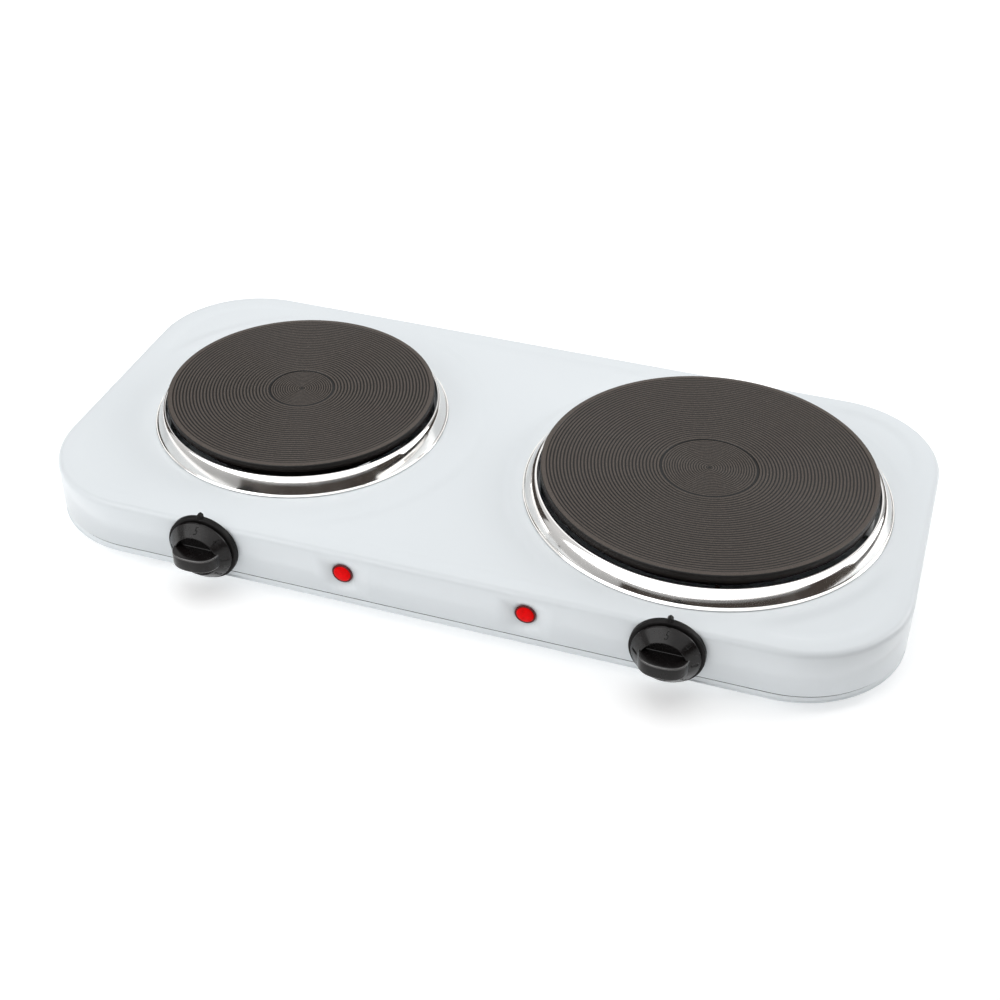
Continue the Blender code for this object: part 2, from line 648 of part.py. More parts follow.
def grip_fin():
    """Fin across the knob's face with a rounded top, a superellipse with flat sides."""
    base = KNOB_FACE - KNOB_WELL_DEPTH - GRIP_SINK
    rise = KNOB_FRONT - base
    power = 2 / GRIP_FULLNESS
    outline = []
    for step in range(GRIP_STEPS + 1):
        turn = math.pi * step / GRIP_STEPS
        across = math.copysign(abs(math.cos(turn)) ** power, math.cos(turn))
        outward = max(math.sin(turn), 0) ** power
        outline.append((GRIP_RADIUS * across, base + rise * outward))
    fin = prism(outline, -GRIP_THICKNESS / 2, GRIP_THICKNESS / 2)
    bmesh.ops.transform(fin, matrix=Matrix.Rotation(math.pi / 2, 4, "X"), verts=fin.verts)
    return fin


def knob(side_name, place, materials):
    """Skirt and cone round a shallow well, with a fin to grip, hollow behind, on a D-shaped bore."""
    hub = SHAFT_RADIUS + CLEARANCE + KNOB_HUB_WALL
    edge = KNOB_BACK + KNOB_SKIRT_EDGE
    hollow = KNOB_SKIRT_RADIUS - KNOB_WALL
    well = KNOB_FACE_RADIUS - KNOB_WELL_RIM
    well_floor = KNOB_FACE - KNOB_WELL_DEPTH
    profile = [
        (0, KNOB_BACK), (hub, KNOB_BACK), (hub, edge), (hollow, edge), (hollow, KNOB_BACK),
        (KNOB_SKIRT_RADIUS, KNOB_BACK), (KNOB_SKIRT_RADIUS, edge), (KNOB_FACE_RADIUS, KNOB_FACE),
        (well, KNOB_FACE), (well, well_floor), (0, well_floor),
    ]
    shape = turned(profile, MEDIUM_SIDES)
    body = add_object(f"{side_name}_knob", shape, materials["black_plastic"], place, FACING_FRONT)
    join(body, add_object(f"{side_name}_grip", grip_fin(), None, place, FACING_FRONT))
    bore = prism(d_outline(SHAFT_RADIUS + CLEARANCE, SHAFT_FLAT + CLEARANCE), 0, SHAFT_END + CLEARANCE)
    cut(body, add_object(f"{side_name}_knob_bore", bore, None, place, FACING_FRONT))


def thermostat(side_name, place, materials):
    """Switch body behind the wall with its bushing and tags, the nut that holds it, and its shaft."""
    size = THERMOSTAT_SIZE
    front = -SHEET - THERMOSTAT_STANDOFF
    back = front - size.y
    shape = block((size.x, size.z, size.y), (0, 0, (front + back) / 2))
    body = add_object(f"{side_name}_thermostat", shape, materials["ceramic"], place, FACING_FRONT)
    bushing_front = CLEARANCE + NUT_THICKNESS + BUSHING_PROUD
    bushing = rod(BUSHING_RADIUS, front - SHEET, bushing_front)
    join(body, add_object(f"{side_name}_bushing", bushing, None, place, FACING_FRONT))
    for index in (-1, 1):
        center = (index * TAG_OFFSET, 0, back + (SHEET - TAG_LENGTH) / 2)
        tag = block((TAG_WIDTH, TAG_SHEET, TAG_LENGTH + SHEET), center)
        join(body, add_object(f"{side_name}_tag_{index}", tag, None, place, FACING_FRONT))
    shaft_back = front - SHAFT_DEPTH
    bore = rod(SHAFT_RADIUS + CLEARANCE, shaft_back - CLEARANCE, bushing_front + CUT_REACH)
    cut(body, add_object(f"{side_name}_shaft_bore", bore, None, place, FACING_FRONT))

    nut_shape = prism(hexagon(NUT_FLATS), CLEARANCE, CLEARANCE + NUT_THICKNESS)
    nut = add_object(f"{side_name}_bushing_nut", nut_shape, materials["zinc_steel"], place, FACING_FRONT)
    thread = rod(BUSHING_RADIUS + CLEARANCE, -CUT_REACH, NUT_THICKNESS + CUT_REACH)
    cut(nut, add_object(f"{side_name}_nut_thread", thread, None, place, FACING_FRONT))
    shaft = prism(d_outline(SHAFT_RADIUS, SHAFT_FLAT), shaft_back, SHAFT_END)
    add_object(f"{side_name}_knob_shaft", shaft, materials["zinc_steel"], place, FACING_FRONT)


def lamp(side_name, place, materials):
    """Domed lens on a barrel through the wall, its spring clip, and the neon bulb behind it."""
    back = CLEARANCE
    front = back + LAMP_HEAD
    barrel_end = -LAMP_BARREL_LENGTH
    lens = [
        (0, barrel_end), (LAMP_BARREL_RADIUS, barrel_end), (LAMP_BARREL_RADIUS, back), (LAMP_RADIUS, back),
        (LAMP_RADIUS, back + LAMP_HEAD / 3), (LAMP_RADIUS * 0.7, front - LAMP_HEAD / 7), (0, front),
    ]
    shape = turned(lens, MEDIUM_SIDES)
    add_object(f"{side_name}_lamp_lens", shape, materials["red_lens"], place, FACING_FRONT)
    clip_front = -SHEET - CLEARANCE
    clip_back = clip_front - LAMP_CLIP_SHEET
    clip = tube(LAMP_BARREL_RADIUS + CLEARANCE, LAMP_RADIUS + SHEET, clip_back, clip_front)
    add_object(f"{side_name}_lamp_clip", clip, materials["zinc_steel"], place, FACING_FRONT)
    glass_front = barrel_end - CLEARANCE
    glass_back = glass_front - BULB_LENGTH
    glass = [
        (0, glass_back), (BULB_RADIUS / 2, glass_back + BULB_TIP / 5), (BULB_RADIUS, glass_back + BULB_TIP),
        (BULB_RADIUS, glass_front), (0, glass_front),
    ]
    bulb = turned(glass, SMALL_SIDES)
    add_object(f"{side_name}_neon_bulb", bulb, materials["clear_glass"], place, FACING_FRONT)


def controls(materials):
    for side_name, burner in BURNERS.items():
        knob_place = (burner["side"] * KNOB_OFFSET, FRONT_WALL, KNOB_AXIS_Z)
        bezel(side_name, knob_place, materials)
        knob(side_name, knob_place, materials)
        thermostat(side_name, knob_place, materials)
        lamp_place = (burner["side"] * LAMP_OFFSET + LAMP_SHIFT, FRONT_WALL, LAMP_Z)
        lamp(side_name, lamp_place, materials)


# Mains side


def inlet_bush(materials):
    """Snap-in bush for the mains cord in the rear wall."""
    lug_front = -SHEET - CLEARANCE
    lug_back = lug_front - INLET_LUG
    lug_radius = INLET_NECK_RADIUS + INLET_LUG
    profile = [
        (INLET_BORE_RADIUS, lug_back), (lug_radius, lug_back), (lug_radius, lug_front),
        (INLET_NECK_RADIUS, lug_front), (INLET_NECK_RADIUS, CLEARANCE), (INLET_FLANGE_RADIUS, CLEARANCE),
        (INLET_FLANGE_RADIUS - INLET_FLANGE / 2, REAR_REACH), (INLET_BORE_RADIUS, REAR_REACH),
    ]
    shape = turned(profile, MEDIUM_SIDES)
    add_object("inlet_bush", shape, materials["black_plastic"], (0, REAR_WALL, INLET_Z), FACING_REAR)


def mains_terminal(materials):
    size = MAINS_BLOCK_SIZE
    place = (0, REAR_WALL - MAINS_BLOCK_SETBACK, PAN_FLOOR + CLEARANCE + size.z / 2)
    body = add_object("mains_terminal", block(size), materials["ceramic"], place)
    for index in (-1, 1):
        groove_size = (BLOCK_SLOT, size.y + CUT_REACH, 2 * MAINS_SLOT_DEPTH)
        groove = block(groove_size, (index * size.x / 6, 0, size.z / 2))
        cut(body, add_object(f"terminal_groove_{index}", groove, None, place))


def earth_point(materials):
    """Headed stud on the pan beside the mains terminal, with its nut."""
    place = (-EARTH_OFFSET, REAR_WALL - MAINS_BLOCK_SETBACK, 0)
    base = PAN_FLOOR + CLEARANCE
    head_top = base + EARTH_HEAD
    profile = [
        (0, base), (EARTH_HEAD_RADIUS, base), (EARTH_HEAD_RADIUS, head_top), (EARTH_STUD_RADIUS, head_top),
        (EARTH_STUD_RADIUS, base + EARTH_STUD_LENGTH), (0, base + EARTH_STUD_LENGTH),
    ]
    add_object("earth_stud", turned(profile, SMALL_SIDES), materials["zinc_steel"], place)
    low = head_top + CLEARANCE
    high = low + EARTH_NUT_THICKNESS
    nut = add_object("earth_nut", prism(hexagon(EARTH_NUT_FLATS), low, high), materials["brass"], place)
    thread = rod(EARTH_STUD_RADIUS + CLEARANCE, low - CUT_REACH / 2, high + CUT_REACH)
    cut(nut, add_object("earth_nut_thread", thread, None, place))


def smooth_route(route, steps=3):
    """Points along a smooth curve through the route. Each bend is scaled to its own stretch."""
    points = [Vector(point) for point in route]
    ends = [2 * points[0] - points[1]] + points + [2 * points[-1] - points[-2]]
    headings = [(after - before).normalized() for before, after in zip(ends, ends[2:])]
    smooth = []
    for start, end, leaving, arriving in zip(points, points[1:], headings, headings[1:]):
        length = (end - start).length
        for step in range(steps):
            t = step / steps
            smooth.append(
                (2 * t**3 - 3 * t**2 + 1) * start + (3 * t**2 - 2 * t**3) * end
                + (t**3 - 2 * t**2 + t) * length * leaving + (t**3 - t**2) * length * arriving
            )
    return smooth + [points[-1]]


def lead(name, route, material):
    """A round wire along a smooth route, with closed ends."""
    smooth = smooth_route(route)
    curve = bpy.data.curves.new(name, "CURVE")
    curve.dimensions = "3D"
    curve.bevel_depth = LEAD_RADIUS
    curve.bevel_resolution = 1
    curve.use_fill_caps = True
    spline = curve.splines.new("POLY")
    spline.points.add(len(smooth) - 1)
    for target, point in zip(spline.points, smooth):
        target.co = (*point, 1)
    curve.materials.append(material)
    bpy.context.scene.collection.objects.link(bpy.data.objects.new(name, curve))


def leads(materials):
    """Supply leads run from the mains terminal to each thermostat, plate leads on to each plate."""
    run = PAN_FLOOR + LEAD_HEIGHT
    hump = run + LEAD_STUB / 2
    bridge = run + LEAD_STUB
    mains_face = REAR_WALL - MAINS_BLOCK_SETBACK - MAINS_BLOCK_SIZE.y / 2 - 2 * CLEARANCE
    tag_end = FRONT_WALL + SHEET + THERMOSTAT_STANDOFF + THERMOSTAT_SIZE.y + TAG_LENGTH + 2 * CLEARANCE
    tag_dip = KNOB_AXIS_Z - 2 * MM
    block_face = HOUSING_Y + PLATE_BLOCK_OFFSET - PLATE_BLOCK_SIZE.y / 2 - 2 * CLEARANCE
    block_z = PLATE_BLOCK_TOP - PLATE_BLOCK_SIZE.z / 2
    for side_name, burner in BURNERS.items():
        sx = burner["side"]
        supply_x = sx * MAINS_BLOCK_SIZE.x / 3
        inner_tag = sx * (KNOB_OFFSET - TAG_OFFSET)
        outer_tag = sx * (KNOB_OFFSET + TAG_OFFSET)
        outer_clip = sx * (BURNER_SPACING / 2 + PLATE_BLOCK_SIZE.x / 4)
        inner_clip = sx * (BURNER_SPACING / 2 - PLATE_BLOCK_SIZE.x / 4)
        lead(f"{side_name}_supply_lead", [
            (supply_x, mains_face, run), (supply_x, mains_face - LEAD_STUB, run),
            (sx * 24 * MM, HOUSING_Y, run), (sx * 60 * MM, HOUSING_Y - 48 * MM, run),
            (inner_tag, tag_end + 4 * LEAD_STUB, hump), (inner_tag, tag_end + LEAD_STUB, tag_dip),
            (inner_tag, tag_end, KNOB_AXIS_Z),
        ], materials["brown_lead"])
        lead(f"{side_name}_plate_lead", [
            (outer_tag, tag_end, KNOB_AXIS_Z), (outer_tag, tag_end + LEAD_STUB, tag_dip),
            (outer_tag + sx * 4 * MM, tag_end + 5 * LEAD_STUB, run),
            (outer_clip + sx * 6 * MM, HOUSING_Y, run),
            (outer_clip, block_face - 3 * LEAD_STUB, bridge), (outer_clip, block_face - LEAD_STUB, block_z),
            (outer_clip, block_face, block_z),
        ], materials["brown_lead"])
        lead(f"{side_name}_neutral_lead", [
            (sx * 2 * MM, mains_face, run), (sx * 2 * MM, mains_face - LEAD_STUB, run),
            (sx * 8 * MM, mains_face - 2 * LEAD_STUB, hump), (sx * 28 * MM, HOUSING_Y + 26 * MM, bridge),
            (inner_clip - sx * 18 * MM, HOUSING_Y + 12 * MM, bridge),
            (inner_clip, block_face - 3 * LEAD_STUB, bridge), (inner_clip, block_face - LEAD_STUB, block_z),
            (inner_clip, block_face, block_z),
        ], materials["blue_lead"])


def main():
    clear_scene()
    materials = make_materials()
    top_housing(materials)
    base_pan(materials)
    feet(materials)
    tabs_and_screws(materials)
    burners(materials)
    controls(materials)
    inlet_bush(materials)
    mains_terminal(materials)
    earth_point(materials)
    leads(materials)


main()
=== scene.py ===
"""Looks of the double electric hot plate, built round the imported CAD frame. Metres, +Z up.

The controls face -Y. Each visible CAD piece is replaced by a finer one of the same outer size, and
the pieces inside keep their CAD shape and get finished materials.
"""

import json
import math

import bmesh
import bpy
import numpy as np
from mathutils import Matrix, Vector, geometry


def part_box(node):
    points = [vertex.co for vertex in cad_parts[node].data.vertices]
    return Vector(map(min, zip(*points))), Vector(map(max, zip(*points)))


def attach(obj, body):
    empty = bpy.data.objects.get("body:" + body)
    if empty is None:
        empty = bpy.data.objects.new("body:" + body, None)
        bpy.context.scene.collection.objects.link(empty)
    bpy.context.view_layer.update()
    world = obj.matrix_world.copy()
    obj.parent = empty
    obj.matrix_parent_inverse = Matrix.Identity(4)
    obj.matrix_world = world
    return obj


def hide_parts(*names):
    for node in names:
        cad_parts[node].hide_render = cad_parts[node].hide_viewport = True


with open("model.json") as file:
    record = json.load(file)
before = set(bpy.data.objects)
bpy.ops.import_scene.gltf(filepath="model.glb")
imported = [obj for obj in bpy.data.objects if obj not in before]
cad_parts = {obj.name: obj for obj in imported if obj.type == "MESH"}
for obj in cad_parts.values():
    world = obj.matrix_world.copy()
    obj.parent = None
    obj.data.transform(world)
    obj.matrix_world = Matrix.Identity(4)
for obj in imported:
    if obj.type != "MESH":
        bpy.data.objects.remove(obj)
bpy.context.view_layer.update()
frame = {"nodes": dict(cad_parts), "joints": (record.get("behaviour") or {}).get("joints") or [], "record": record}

MM = 0.001
SIDES = ("left", "right")
ROWS = ("front", "rear")

# Sizes that the boxes of the CAD pieces don't give
CORNER_RADIUS = 61 * MM
FOLD_RADIUS = 3.6 * MM
SHEET = 1 * MM
CORNER_STEPS = 28
FOLD_STEPS = 8
EDGE_PITCH = 4 * MM
DECK_PITCH = 2.2 * MM
HOLE_STEPS = 96
SMALL_HOLE_STEPS = 32
WELD = 0.01 * MM

HOLE_INSET = 0.5 * MM
INLET_HOLE = 6.3 * MM
SHAFT_HOLE = 4.8 * MM
LAMP_HOLE = 4.3 * MM

BAND_HEIGHT = 3.8 * MM
BAND_INSET = 0.6 * MM
PAN_BEAD = 0.55 * MM
PAN_SHOULDER = 1.4 * MM
PAN_SHEET = 0.9 * MM
FOOT_HOLE = 3.5 * MM
SCREW_HOLE = 2 * MM
VENT_RADIUS = 2.5 * MM
VENT_REACH = 22.5 * MM
VENT_PITCH = 18 * MM
VENTS = range(-2, 3)

BORDER_WIDTH = 9.5 * MM
POCKET_DEPTH = {"left": 0.5 * MM, "right": 1.3 * MM}
POCKET_SLOPE = 6 * MM
POCKET_BLEND = 12 * MM
SURROUND = {"left": 106 * MM, "right": 108 * MM}

GROOVE_PITCH = 1.88 * MM
GROOVE_DEPTH = 0.35 * MM
GROOVE_STEPS = 6
RIDGE_SHARPNESS = 1.5
INNER_PITCH = 0.75 * GROOVE_PITCH
INNER_DEPTH = 0.8 * GROOVE_DEPTH
INNER_DROP = 0.03 * MM
INNER_START = 1.6 * MM
INNER_MARGIN = 1.4 * MM
OUTER_MARGIN = 1.3 * MM
CENTER_DIMPLE = 0.5 * MM
CIRCLE_DEPTH = 0.5 * MM
CIRCLE_WIDTH = 0.9 * MM
CIRCLE_LAND = 0.8 * MM
PLATE_LAND = 3.2 * MM
PLATE_ROUND = 0.9 * MM
PLATE_CHAMFER = 0.5 * MM
PLATE_SKIRT = 7 * MM
PLATE_WALL = 4 * MM
PLATE_WEB = 0.5 * MM
BOSS_RADIUS = 9 * MM
BOSS_DEPTH = 3 * MM
SIDE_START = 0.75 * MM
PLATE_STEPS = 224
PLATE_RIM = {"left": 4.6 * MM, "right": 5.5 * MM}
INNER_CIRCLE = {"left": 19.5 * MM, "right": 27.5 * MM}
RING_STEPS = 256
RING_GAP = 1.5 * MM
RING_SHEET = 0.6 * MM
RING_LIP = 1.1 * MM
RING_HEM = 3 * MM
RING_LEAN = {"left": 20, "right": 23}


def place_of(node):
    low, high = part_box(node)
    return (low + high) / 2


def radius_of(node):
    low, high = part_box(node)
    return (high.x - low.x) / 2


HOUSING_LOW, HOUSING_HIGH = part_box("top_housing")
LENGTH = HOUSING_HIGH.x - HOUSING_LOW.x
DEPTH = HOUSING_HIGH.y - HOUSING_LOW.y
HOUSING_Y = (HOUSING_HIGH.y + HOUSING_LOW.y) / 2
DECK = HOUSING_HIGH.z
SKIRT_BOTTOM = HOUSING_LOW.z
FRONT_WALL = HOUSING_LOW.y
REAR_WALL = HOUSING_HIGH.y
BURNER = {side: place_of(f"{side}_hot_plate") for side in SIDES}
PLATE_RADIUS = {side: radius_of(f"{side}_hot_plate") for side in SIDES}
RING_RADIUS = {side: radius_of(f"{side}_trim_ring") for side in SIDES}
KNOB_AXIS = {joint["child"].replace("_dial", ""): Vector(joint["pos_m"]) for joint in frame["joints"]}
LAMP = {side: place_of(f"{side}_lamp_lens") for side in SIDES}


# Mesh helpers


def loose_piece(name, shape, materials=(), smooth_angle=32):
    """An object from a bmesh, with its normals outwards, that rides on no body yet."""
    bmesh.ops.recalc_face_normals(shape, faces=shape.faces)
    mesh = bpy.data.meshes.new(name)
    shape.to_mesh(mesh)
    shape.free()
    mesh.shade_smooth()
    mesh.set_sharp_from_angle(angle=math.radians(smooth_angle))
    piece = bpy.data.objects.new(name, mesh)
    bpy.context.scene.collection.objects.link(piece)
    for material in materials:
        mesh.materials.append(material)
    return piece


def new_piece(name, shape, material, smooth_angle, node=None):
    """A piece of the appliance body, standing for a CAD node where one is given."""
    piece = loose_piece(name, shape, [material], smooth_angle)
    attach(piece, "appliance")
    if node:
        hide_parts(node)
    return piece


def turned(profile, steps):
    """Spins a closed (radius, height) outline round Z. Points on the axis become one vertex."""
    shape = bmesh.new()
    rows = []
    for radius, height in profile:
        if radius < 1e-7:
            rows.append([shape.verts.new((0, 0, height))] * steps)
        else:
            rows.append([
                shape.verts.new((radius * math.cos(t), radius * math.sin(t), height))
                for t in (math.tau * step / steps for step in range(steps))
            ])
    for low, high in zip(rows, rows[1:] + rows[:1]):
        if low[0] is low[1] and high[0] is high[1]:
            continue
        for step in range(steps):
            after = (step + 1) % steps
            corners = [low[step], low[after], high[after], high[step]]
            distinct = [v for i, v in enumerate(corners) if v is not corners[i - 1]]
            shape.faces.new(distinct)
    return shape


def moved(shape, matrix):
    bmesh.ops.transform(shape, matrix=matrix, verts=shape.verts)
    return shape


def facing_front(place):
    """Takes +Z to the way out of the front wall, with +Y up."""
    return Matrix.Translation(place) @ Matrix.Rotation(math.pi / 2, 4, "X")


def facing_rear(place):
    return Matrix.Translation(place) @ Matrix.Rotation(-math.pi / 2, 4, "X")


def arc(center, radius, start, end, steps):
    """Points of an arc in degrees, both ends included."""
    turns = [math.radians(start + (end - start) * step / steps) for step in range(steps + 1)]
    return [(center[0] + radius * math.cos(t), center[1] + radius * math.sin(t)) for t in turns]


def circle(center, radius, steps):
    return arc(center, radius, 0, 360, steps)[:-1]


def outline(inset):
    """The housing's plan outline, moved in by inset, with the same count of points at any inset."""
    half = Vector((LENGTH / 2 - CORNER_RADIUS, DEPTH / 2 - CORNER_RADIUS))
    radius = CORNER_RADIUS - inset
    points = []
    for corner, (sx, sy) in enumerate(((1, 1), (-1, 1), (-1, -1), (1, -1))):
        center = (sx * half.x, HOUSING_Y + sy * half.y)
        points += arc(center, radius, corner * 90, corner * 90 + 90, CORNER_STEPS)
        straight = 2 * (half.x if corner % 2 == 0 else half.y)
        count = round(straight / EDGE_PITCH)
        last = Vector(points[-1])
        along = Vector((-sx, 0)) if corner % 2 == 0 else Vector((0, -sy))
        points += [tuple(last + along * straight * step / count) for step in range(1, count)]
    return points


def filled(loops, inside, keep):
    """Triangles over the area that loops bound. keep(x, y) says which triangles stay."""
    points = []
    edges = []
    for loop in loops:
        first = len(points)
        points += [Vector(p) for p in loop]
        edges += [(first + i, first + (i + 1) % len(loop)) for i in range(len(loop))]
    points += [Vector(p) for p in inside]
    found = geometry.delaunay_2d_cdt(points, edges, [], 0, 1e-7)
    vertices, triangles = found[0], found[2]
    kept = []
    for triangle in triangles:
        center = sum((vertices[i] for i in triangle), Vector((0, 0))) / len(triangle)
        if keep(center.x, center.y):
            kept.append(triangle)
    return vertices, kept


def add_faces(shape, vertices, triangles, to_place):
    made = {}
    for triangle in triangles:
        for i in triangle:
            if i not in made:
                made[i] = shape.verts.new(to_place(vertices[i].x, vertices[i].y))
        shape.faces.new([made[i] for i in triangle])


def joined_rings(shape, rings):
    """Quads between rings of points that have the same count."""
    rows = [[shape.verts.new(point) for point in ring] for ring in rings]
    for low, high in zip(rows, rows[1:]):
        for i in range(len(low)):
            shape.faces.new((low[i - 1], low[i], high[i], high[i - 1]))
    return rows


def with_modifiers(piece):
    """Applies the piece's modifiers to its mesh."""
    bpy.context.view_layer.update()
    evaluated = piece.evaluated_get(bpy.context.evaluated_depsgraph_get())
    mesh = bpy.data.meshes.new_from_object(evaluated)
    piece.modifiers.clear()
    piece.data = mesh
    return piece


def thickened(piece, thickness):
    modifier = piece.modifiers.new("Sheet", "SOLIDIFY")
    modifier.thickness = thickness
    modifier.offset = -1
    modifier.use_even_offset = True
    return with_modifiers(piece)


def boolean(piece, other, operation):
    modifier = piece.modifiers.new("Join", "BOOLEAN")
    modifier.operation = operation
    modifier.solver = "EXACT"
    modifier.object = other
    with_modifiers(piece)
    bpy.data.objects.remove(other)
    piece.data.shade_smooth()
    piece.data.set_sharp_from_angle(angle=math.radians(32))
    return piece


# Materials


class Shader:
    """A Principled material with short calls for the nodes that these finishes need."""

    def __init__(self, name, color, roughness, metallic=0.0, **sockets):
        self.material = bpy.data.materials.new(name)
        self.material.use_nodes = True
        self.tree = self.material.node_tree
        self.bsdf = self.tree.nodes["Principled BSDF"]
        self.bsdf.inputs["Base Color"].default_value = (*color, 1)
        self.bsdf.inputs["Roughness"].default_value = roughness
        self.bsdf.inputs["Metallic"].default_value = metallic
        for socket, value in sockets.items():
            self.bsdf.inputs[socket.replace("_", " ")].default_value = value
        self.position = self.tree.nodes.new("ShaderNodeTexCoord").outputs["Object"]
        self.last_bump = None

    def link(self, source, target):
        self.tree.links.new(source, target)

    def noise(self, scale, detail=3.0, stretch=None):
        node = self.tree.nodes.new("ShaderNodeTexNoise")
        node.inputs["Scale"].default_value = scale
        node.inputs["Detail"].default_value = detail
        source = self.position
        if stretch:
            mapping = self.tree.nodes.new("ShaderNodeMapping")
            mapping.inputs["Scale"].default_value = stretch
            self.link(source, mapping.inputs["Vector"])
            source = mapping.outputs["Vector"]
        self.link(source, node.inputs["Vector"])
        return node.outputs["Fac"]

    def ramp(self, source, stops):
        """stops are (position, colour)."""
        node = self.tree.nodes.new("ShaderNodeValToRGB")
        elements = node.color_ramp.elements
        while len(elements) < len(stops):
            elements.new(0.5)
        for element, (position, color) in zip(elements, stops):
            element.position = position
            element.color = (*color, 1)
        self.link(source, node.inputs["Fac"])
        return node.outputs["Color"]

    def range(self, source, low, high, start=0.3, end=0.7):
        node = self.tree.nodes.new("ShaderNodeMapRange")
        node.inputs["From Min"].default_value = start
        node.inputs["From Max"].default_value = end
        node.inputs["To Min"].default_value = low
        node.inputs["To Max"].default_value = high
        self.link(source, node.inputs["Value"])
        return node.outputs["Result"]

    def color(self, source):
        self.link(source, self.bsdf.inputs["Base Color"])

    def roughness(self, source):
        self.link(source, self.bsdf.inputs["Roughness"])

    def along(self, axis, low, high):
        """0 at one place along an axis of the piece's own frame and 1 at another."""
        split = self.tree.nodes.new("ShaderNodeSeparateXYZ")
        self.link(self.position, split.inputs["Vector"])
        return self.range(split.outputs[axis], 0.0, 1.0, low, high)

    def times(self, color, factor):
        node = self.tree.nodes.new("ShaderNodeVectorMath")
        node.operation = "SCALE"
        self.link(color, node.inputs[0])
        self.link(factor, node.inputs["Scale"])
        return node.outputs["Vector"]

    def bump(self, source, strength, distance):
        node = self.tree.nodes.new("ShaderNodeBump")
        node.inputs["Strength"].default_value = strength
        node.inputs["Distance"].default_value = distance
        self.link(source, node.inputs["Height"])
        if self.last_bump:
            self.link(self.last_bump, node.inputs["Normal"])
        self.last_bump = node.outputs["Normal"]
        self.link(self.last_bump, self.bsdf.inputs["Normal"])


def enamel():
    """Gloss stove enamel: faintly cool white, with a fine orange peel and slow tone changes."""
    s = Shader("white_enamel", (0.74, 0.77, 0.785), 0.3, Specular_IOR_Level=0.4)
    s.color(s.ramp(s.noise(9, 2), [(0.3, (0.736, 0.776, 0.802)), (0.7, (0.756, 0.794, 0.819))]))
    s.roughness(s.range(s.noise(25, 2), 0.27, 0.33, 0.0, 1.0))
    s.bump(s.noise(900, 2), 0.1, 0.02 * MM)
    return s.material


def cast_iron():
    """Matt black heat-proof coating over turned iron with pale specks, a painted highlight on the ridges and
    painted shade in the grooves.
    """
    s = Shader("cast_iron", (0.034, 0.027, 0.022), 0.42, Specular_IOR_Level=0.32)
    grain = s.ramp(s.noise(2200, 4), [
        (0.35, (0.021, 0.0165, 0.0135)), (0.60, (0.036, 0.0285, 0.0235)),
        (0.72, (0.055, 0.045, 0.039)), (0.80, (0.17, 0.155, 0.14)),
    ])
    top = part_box("left_hot_plate")[1].z
    # Painted light and shade: the colour goes from black at the groove bottoms to 2.3 times at the ridge tops and
    # the flat top.
    painted_groove_shading = s.along("Z", top - GROOVE_DEPTH, top)
    s.color(s.times(grain, s.range(painted_groove_shading, 0.0, 2.3)))
    s.roughness(s.range(s.noise(24, 3), 0.36, 0.46))
    s.bump(s.noise(3800, 2), 0.25, 0.03 * MM)
    return s.material


def iron_side():
    """The plate's turned side: a darker copy of the cast iron that paints shade on it."""
    s = Shader("iron_side", (0.009, 0.007, 0.006), 0.4, Specular_IOR_Level=0.14)
    s.color(s.ramp(s.noise(1800, 3), [(0.35, (0.006, 0.0045, 0.004)), (0.7, (0.013, 0.010, 0.0085))]))
    s.roughness(s.range(s.noise(60, 3), 0.36, 0.5))
    s.bump(s.noise(3000, 2), 0.2, 0.03 * MM)
    return s.material


def stainless():
    """Polished sheet with faint spun lines."""
    s = Shader("stainless", (0.90, 0.885, 0.865), 0.1, 1.0)
    s.roughness(s.range(s.noise(60, 3), 0.06, 0.15))
    s.bump(s.noise(260, 2, stretch=(0.5, 0.5, 8)), 0.05, 0.015 * MM)
    return s.material


def black_plastic():
    """Glossy black phenolic moulding with a faint flow texture."""
    s = Shader("black_plastic", (0.0055, 0.0045, 0.0045), 0.22, Specular_IOR_Level=0.27)
    s.roughness(s.range(s.noise(260, 3), 0.18, 0.30))
    s.bump(s.noise(1500, 2), 0.12, 0.02 * MM)
    return s.material


def bezel_plastic():
    """The same moulding with a duller, finely textured face."""
    s = Shader("bezel_plastic", (0.006, 0.0052, 0.0052), 0.4, Specular_IOR_Level=0.14)
    s.roughness(s.range(s.noise(400, 3), 0.36, 0.52))
    s.bump(s.noise(2600, 2), 0.3, 0.03 * MM)
    return s.material


def red_lens():
    """Translucent red over a pale reflector, bright across its face."""
    s = Shader(
        "red_lens", (0.78, 0.0, 0.0), 0.28, Specular_IOR_Level=0.05,
        Emission_Color=(1.0, 0.0, 0.0, 1), Emission_Strength=0.12,
    )
    s.color(s.ramp(s.noise(420, 2), [(0.3, (0.56, 0.0, 0.0)), (0.7, (0.74, 0.0, 0.002))]))
    s.bump(s.noise(900, 1), 0.2, 0.05 * MM)
    return s.material


def red_rim():
    """The lens's thick edge, where the light doesn't reach."""
    s = Shader("red_rim", (0.10, 0.001, 0.002), 0.2, Specular_IOR_Level=0.3)
    s.color(s.ramp(s.noise(500, 2), [(0.3, (0.07, 0.0, 0.001)), (0.7, (0.14, 0.001, 0.003))]))
    s.bump(s.noise(900, 1), 0.1, 0.03 * MM)
    return s.material


def plain(name, color, roughness, metallic=0.0, grain=300, spread=0.08, **sockets):
    """A finish with grain: the colour and roughness vary a little at one scale."""
    s = Shader(name, color, roughness, metallic, **sockets)
    dark = tuple(c * (1 - spread) for c in color)
    light = tuple(min(c * (1 + spread), 1) for c in color)
    source = s.noise(grain, 3)
    s.color(s.ramp(source, [(0.3, dark), (0.7, light)]))
    s.roughness(s.range(source, roughness * 0.85, min(roughness * 1.15, 1)))
    s.bump(s.noise(grain * 3, 2), 0.15, 0.03 * MM)
    return s.material


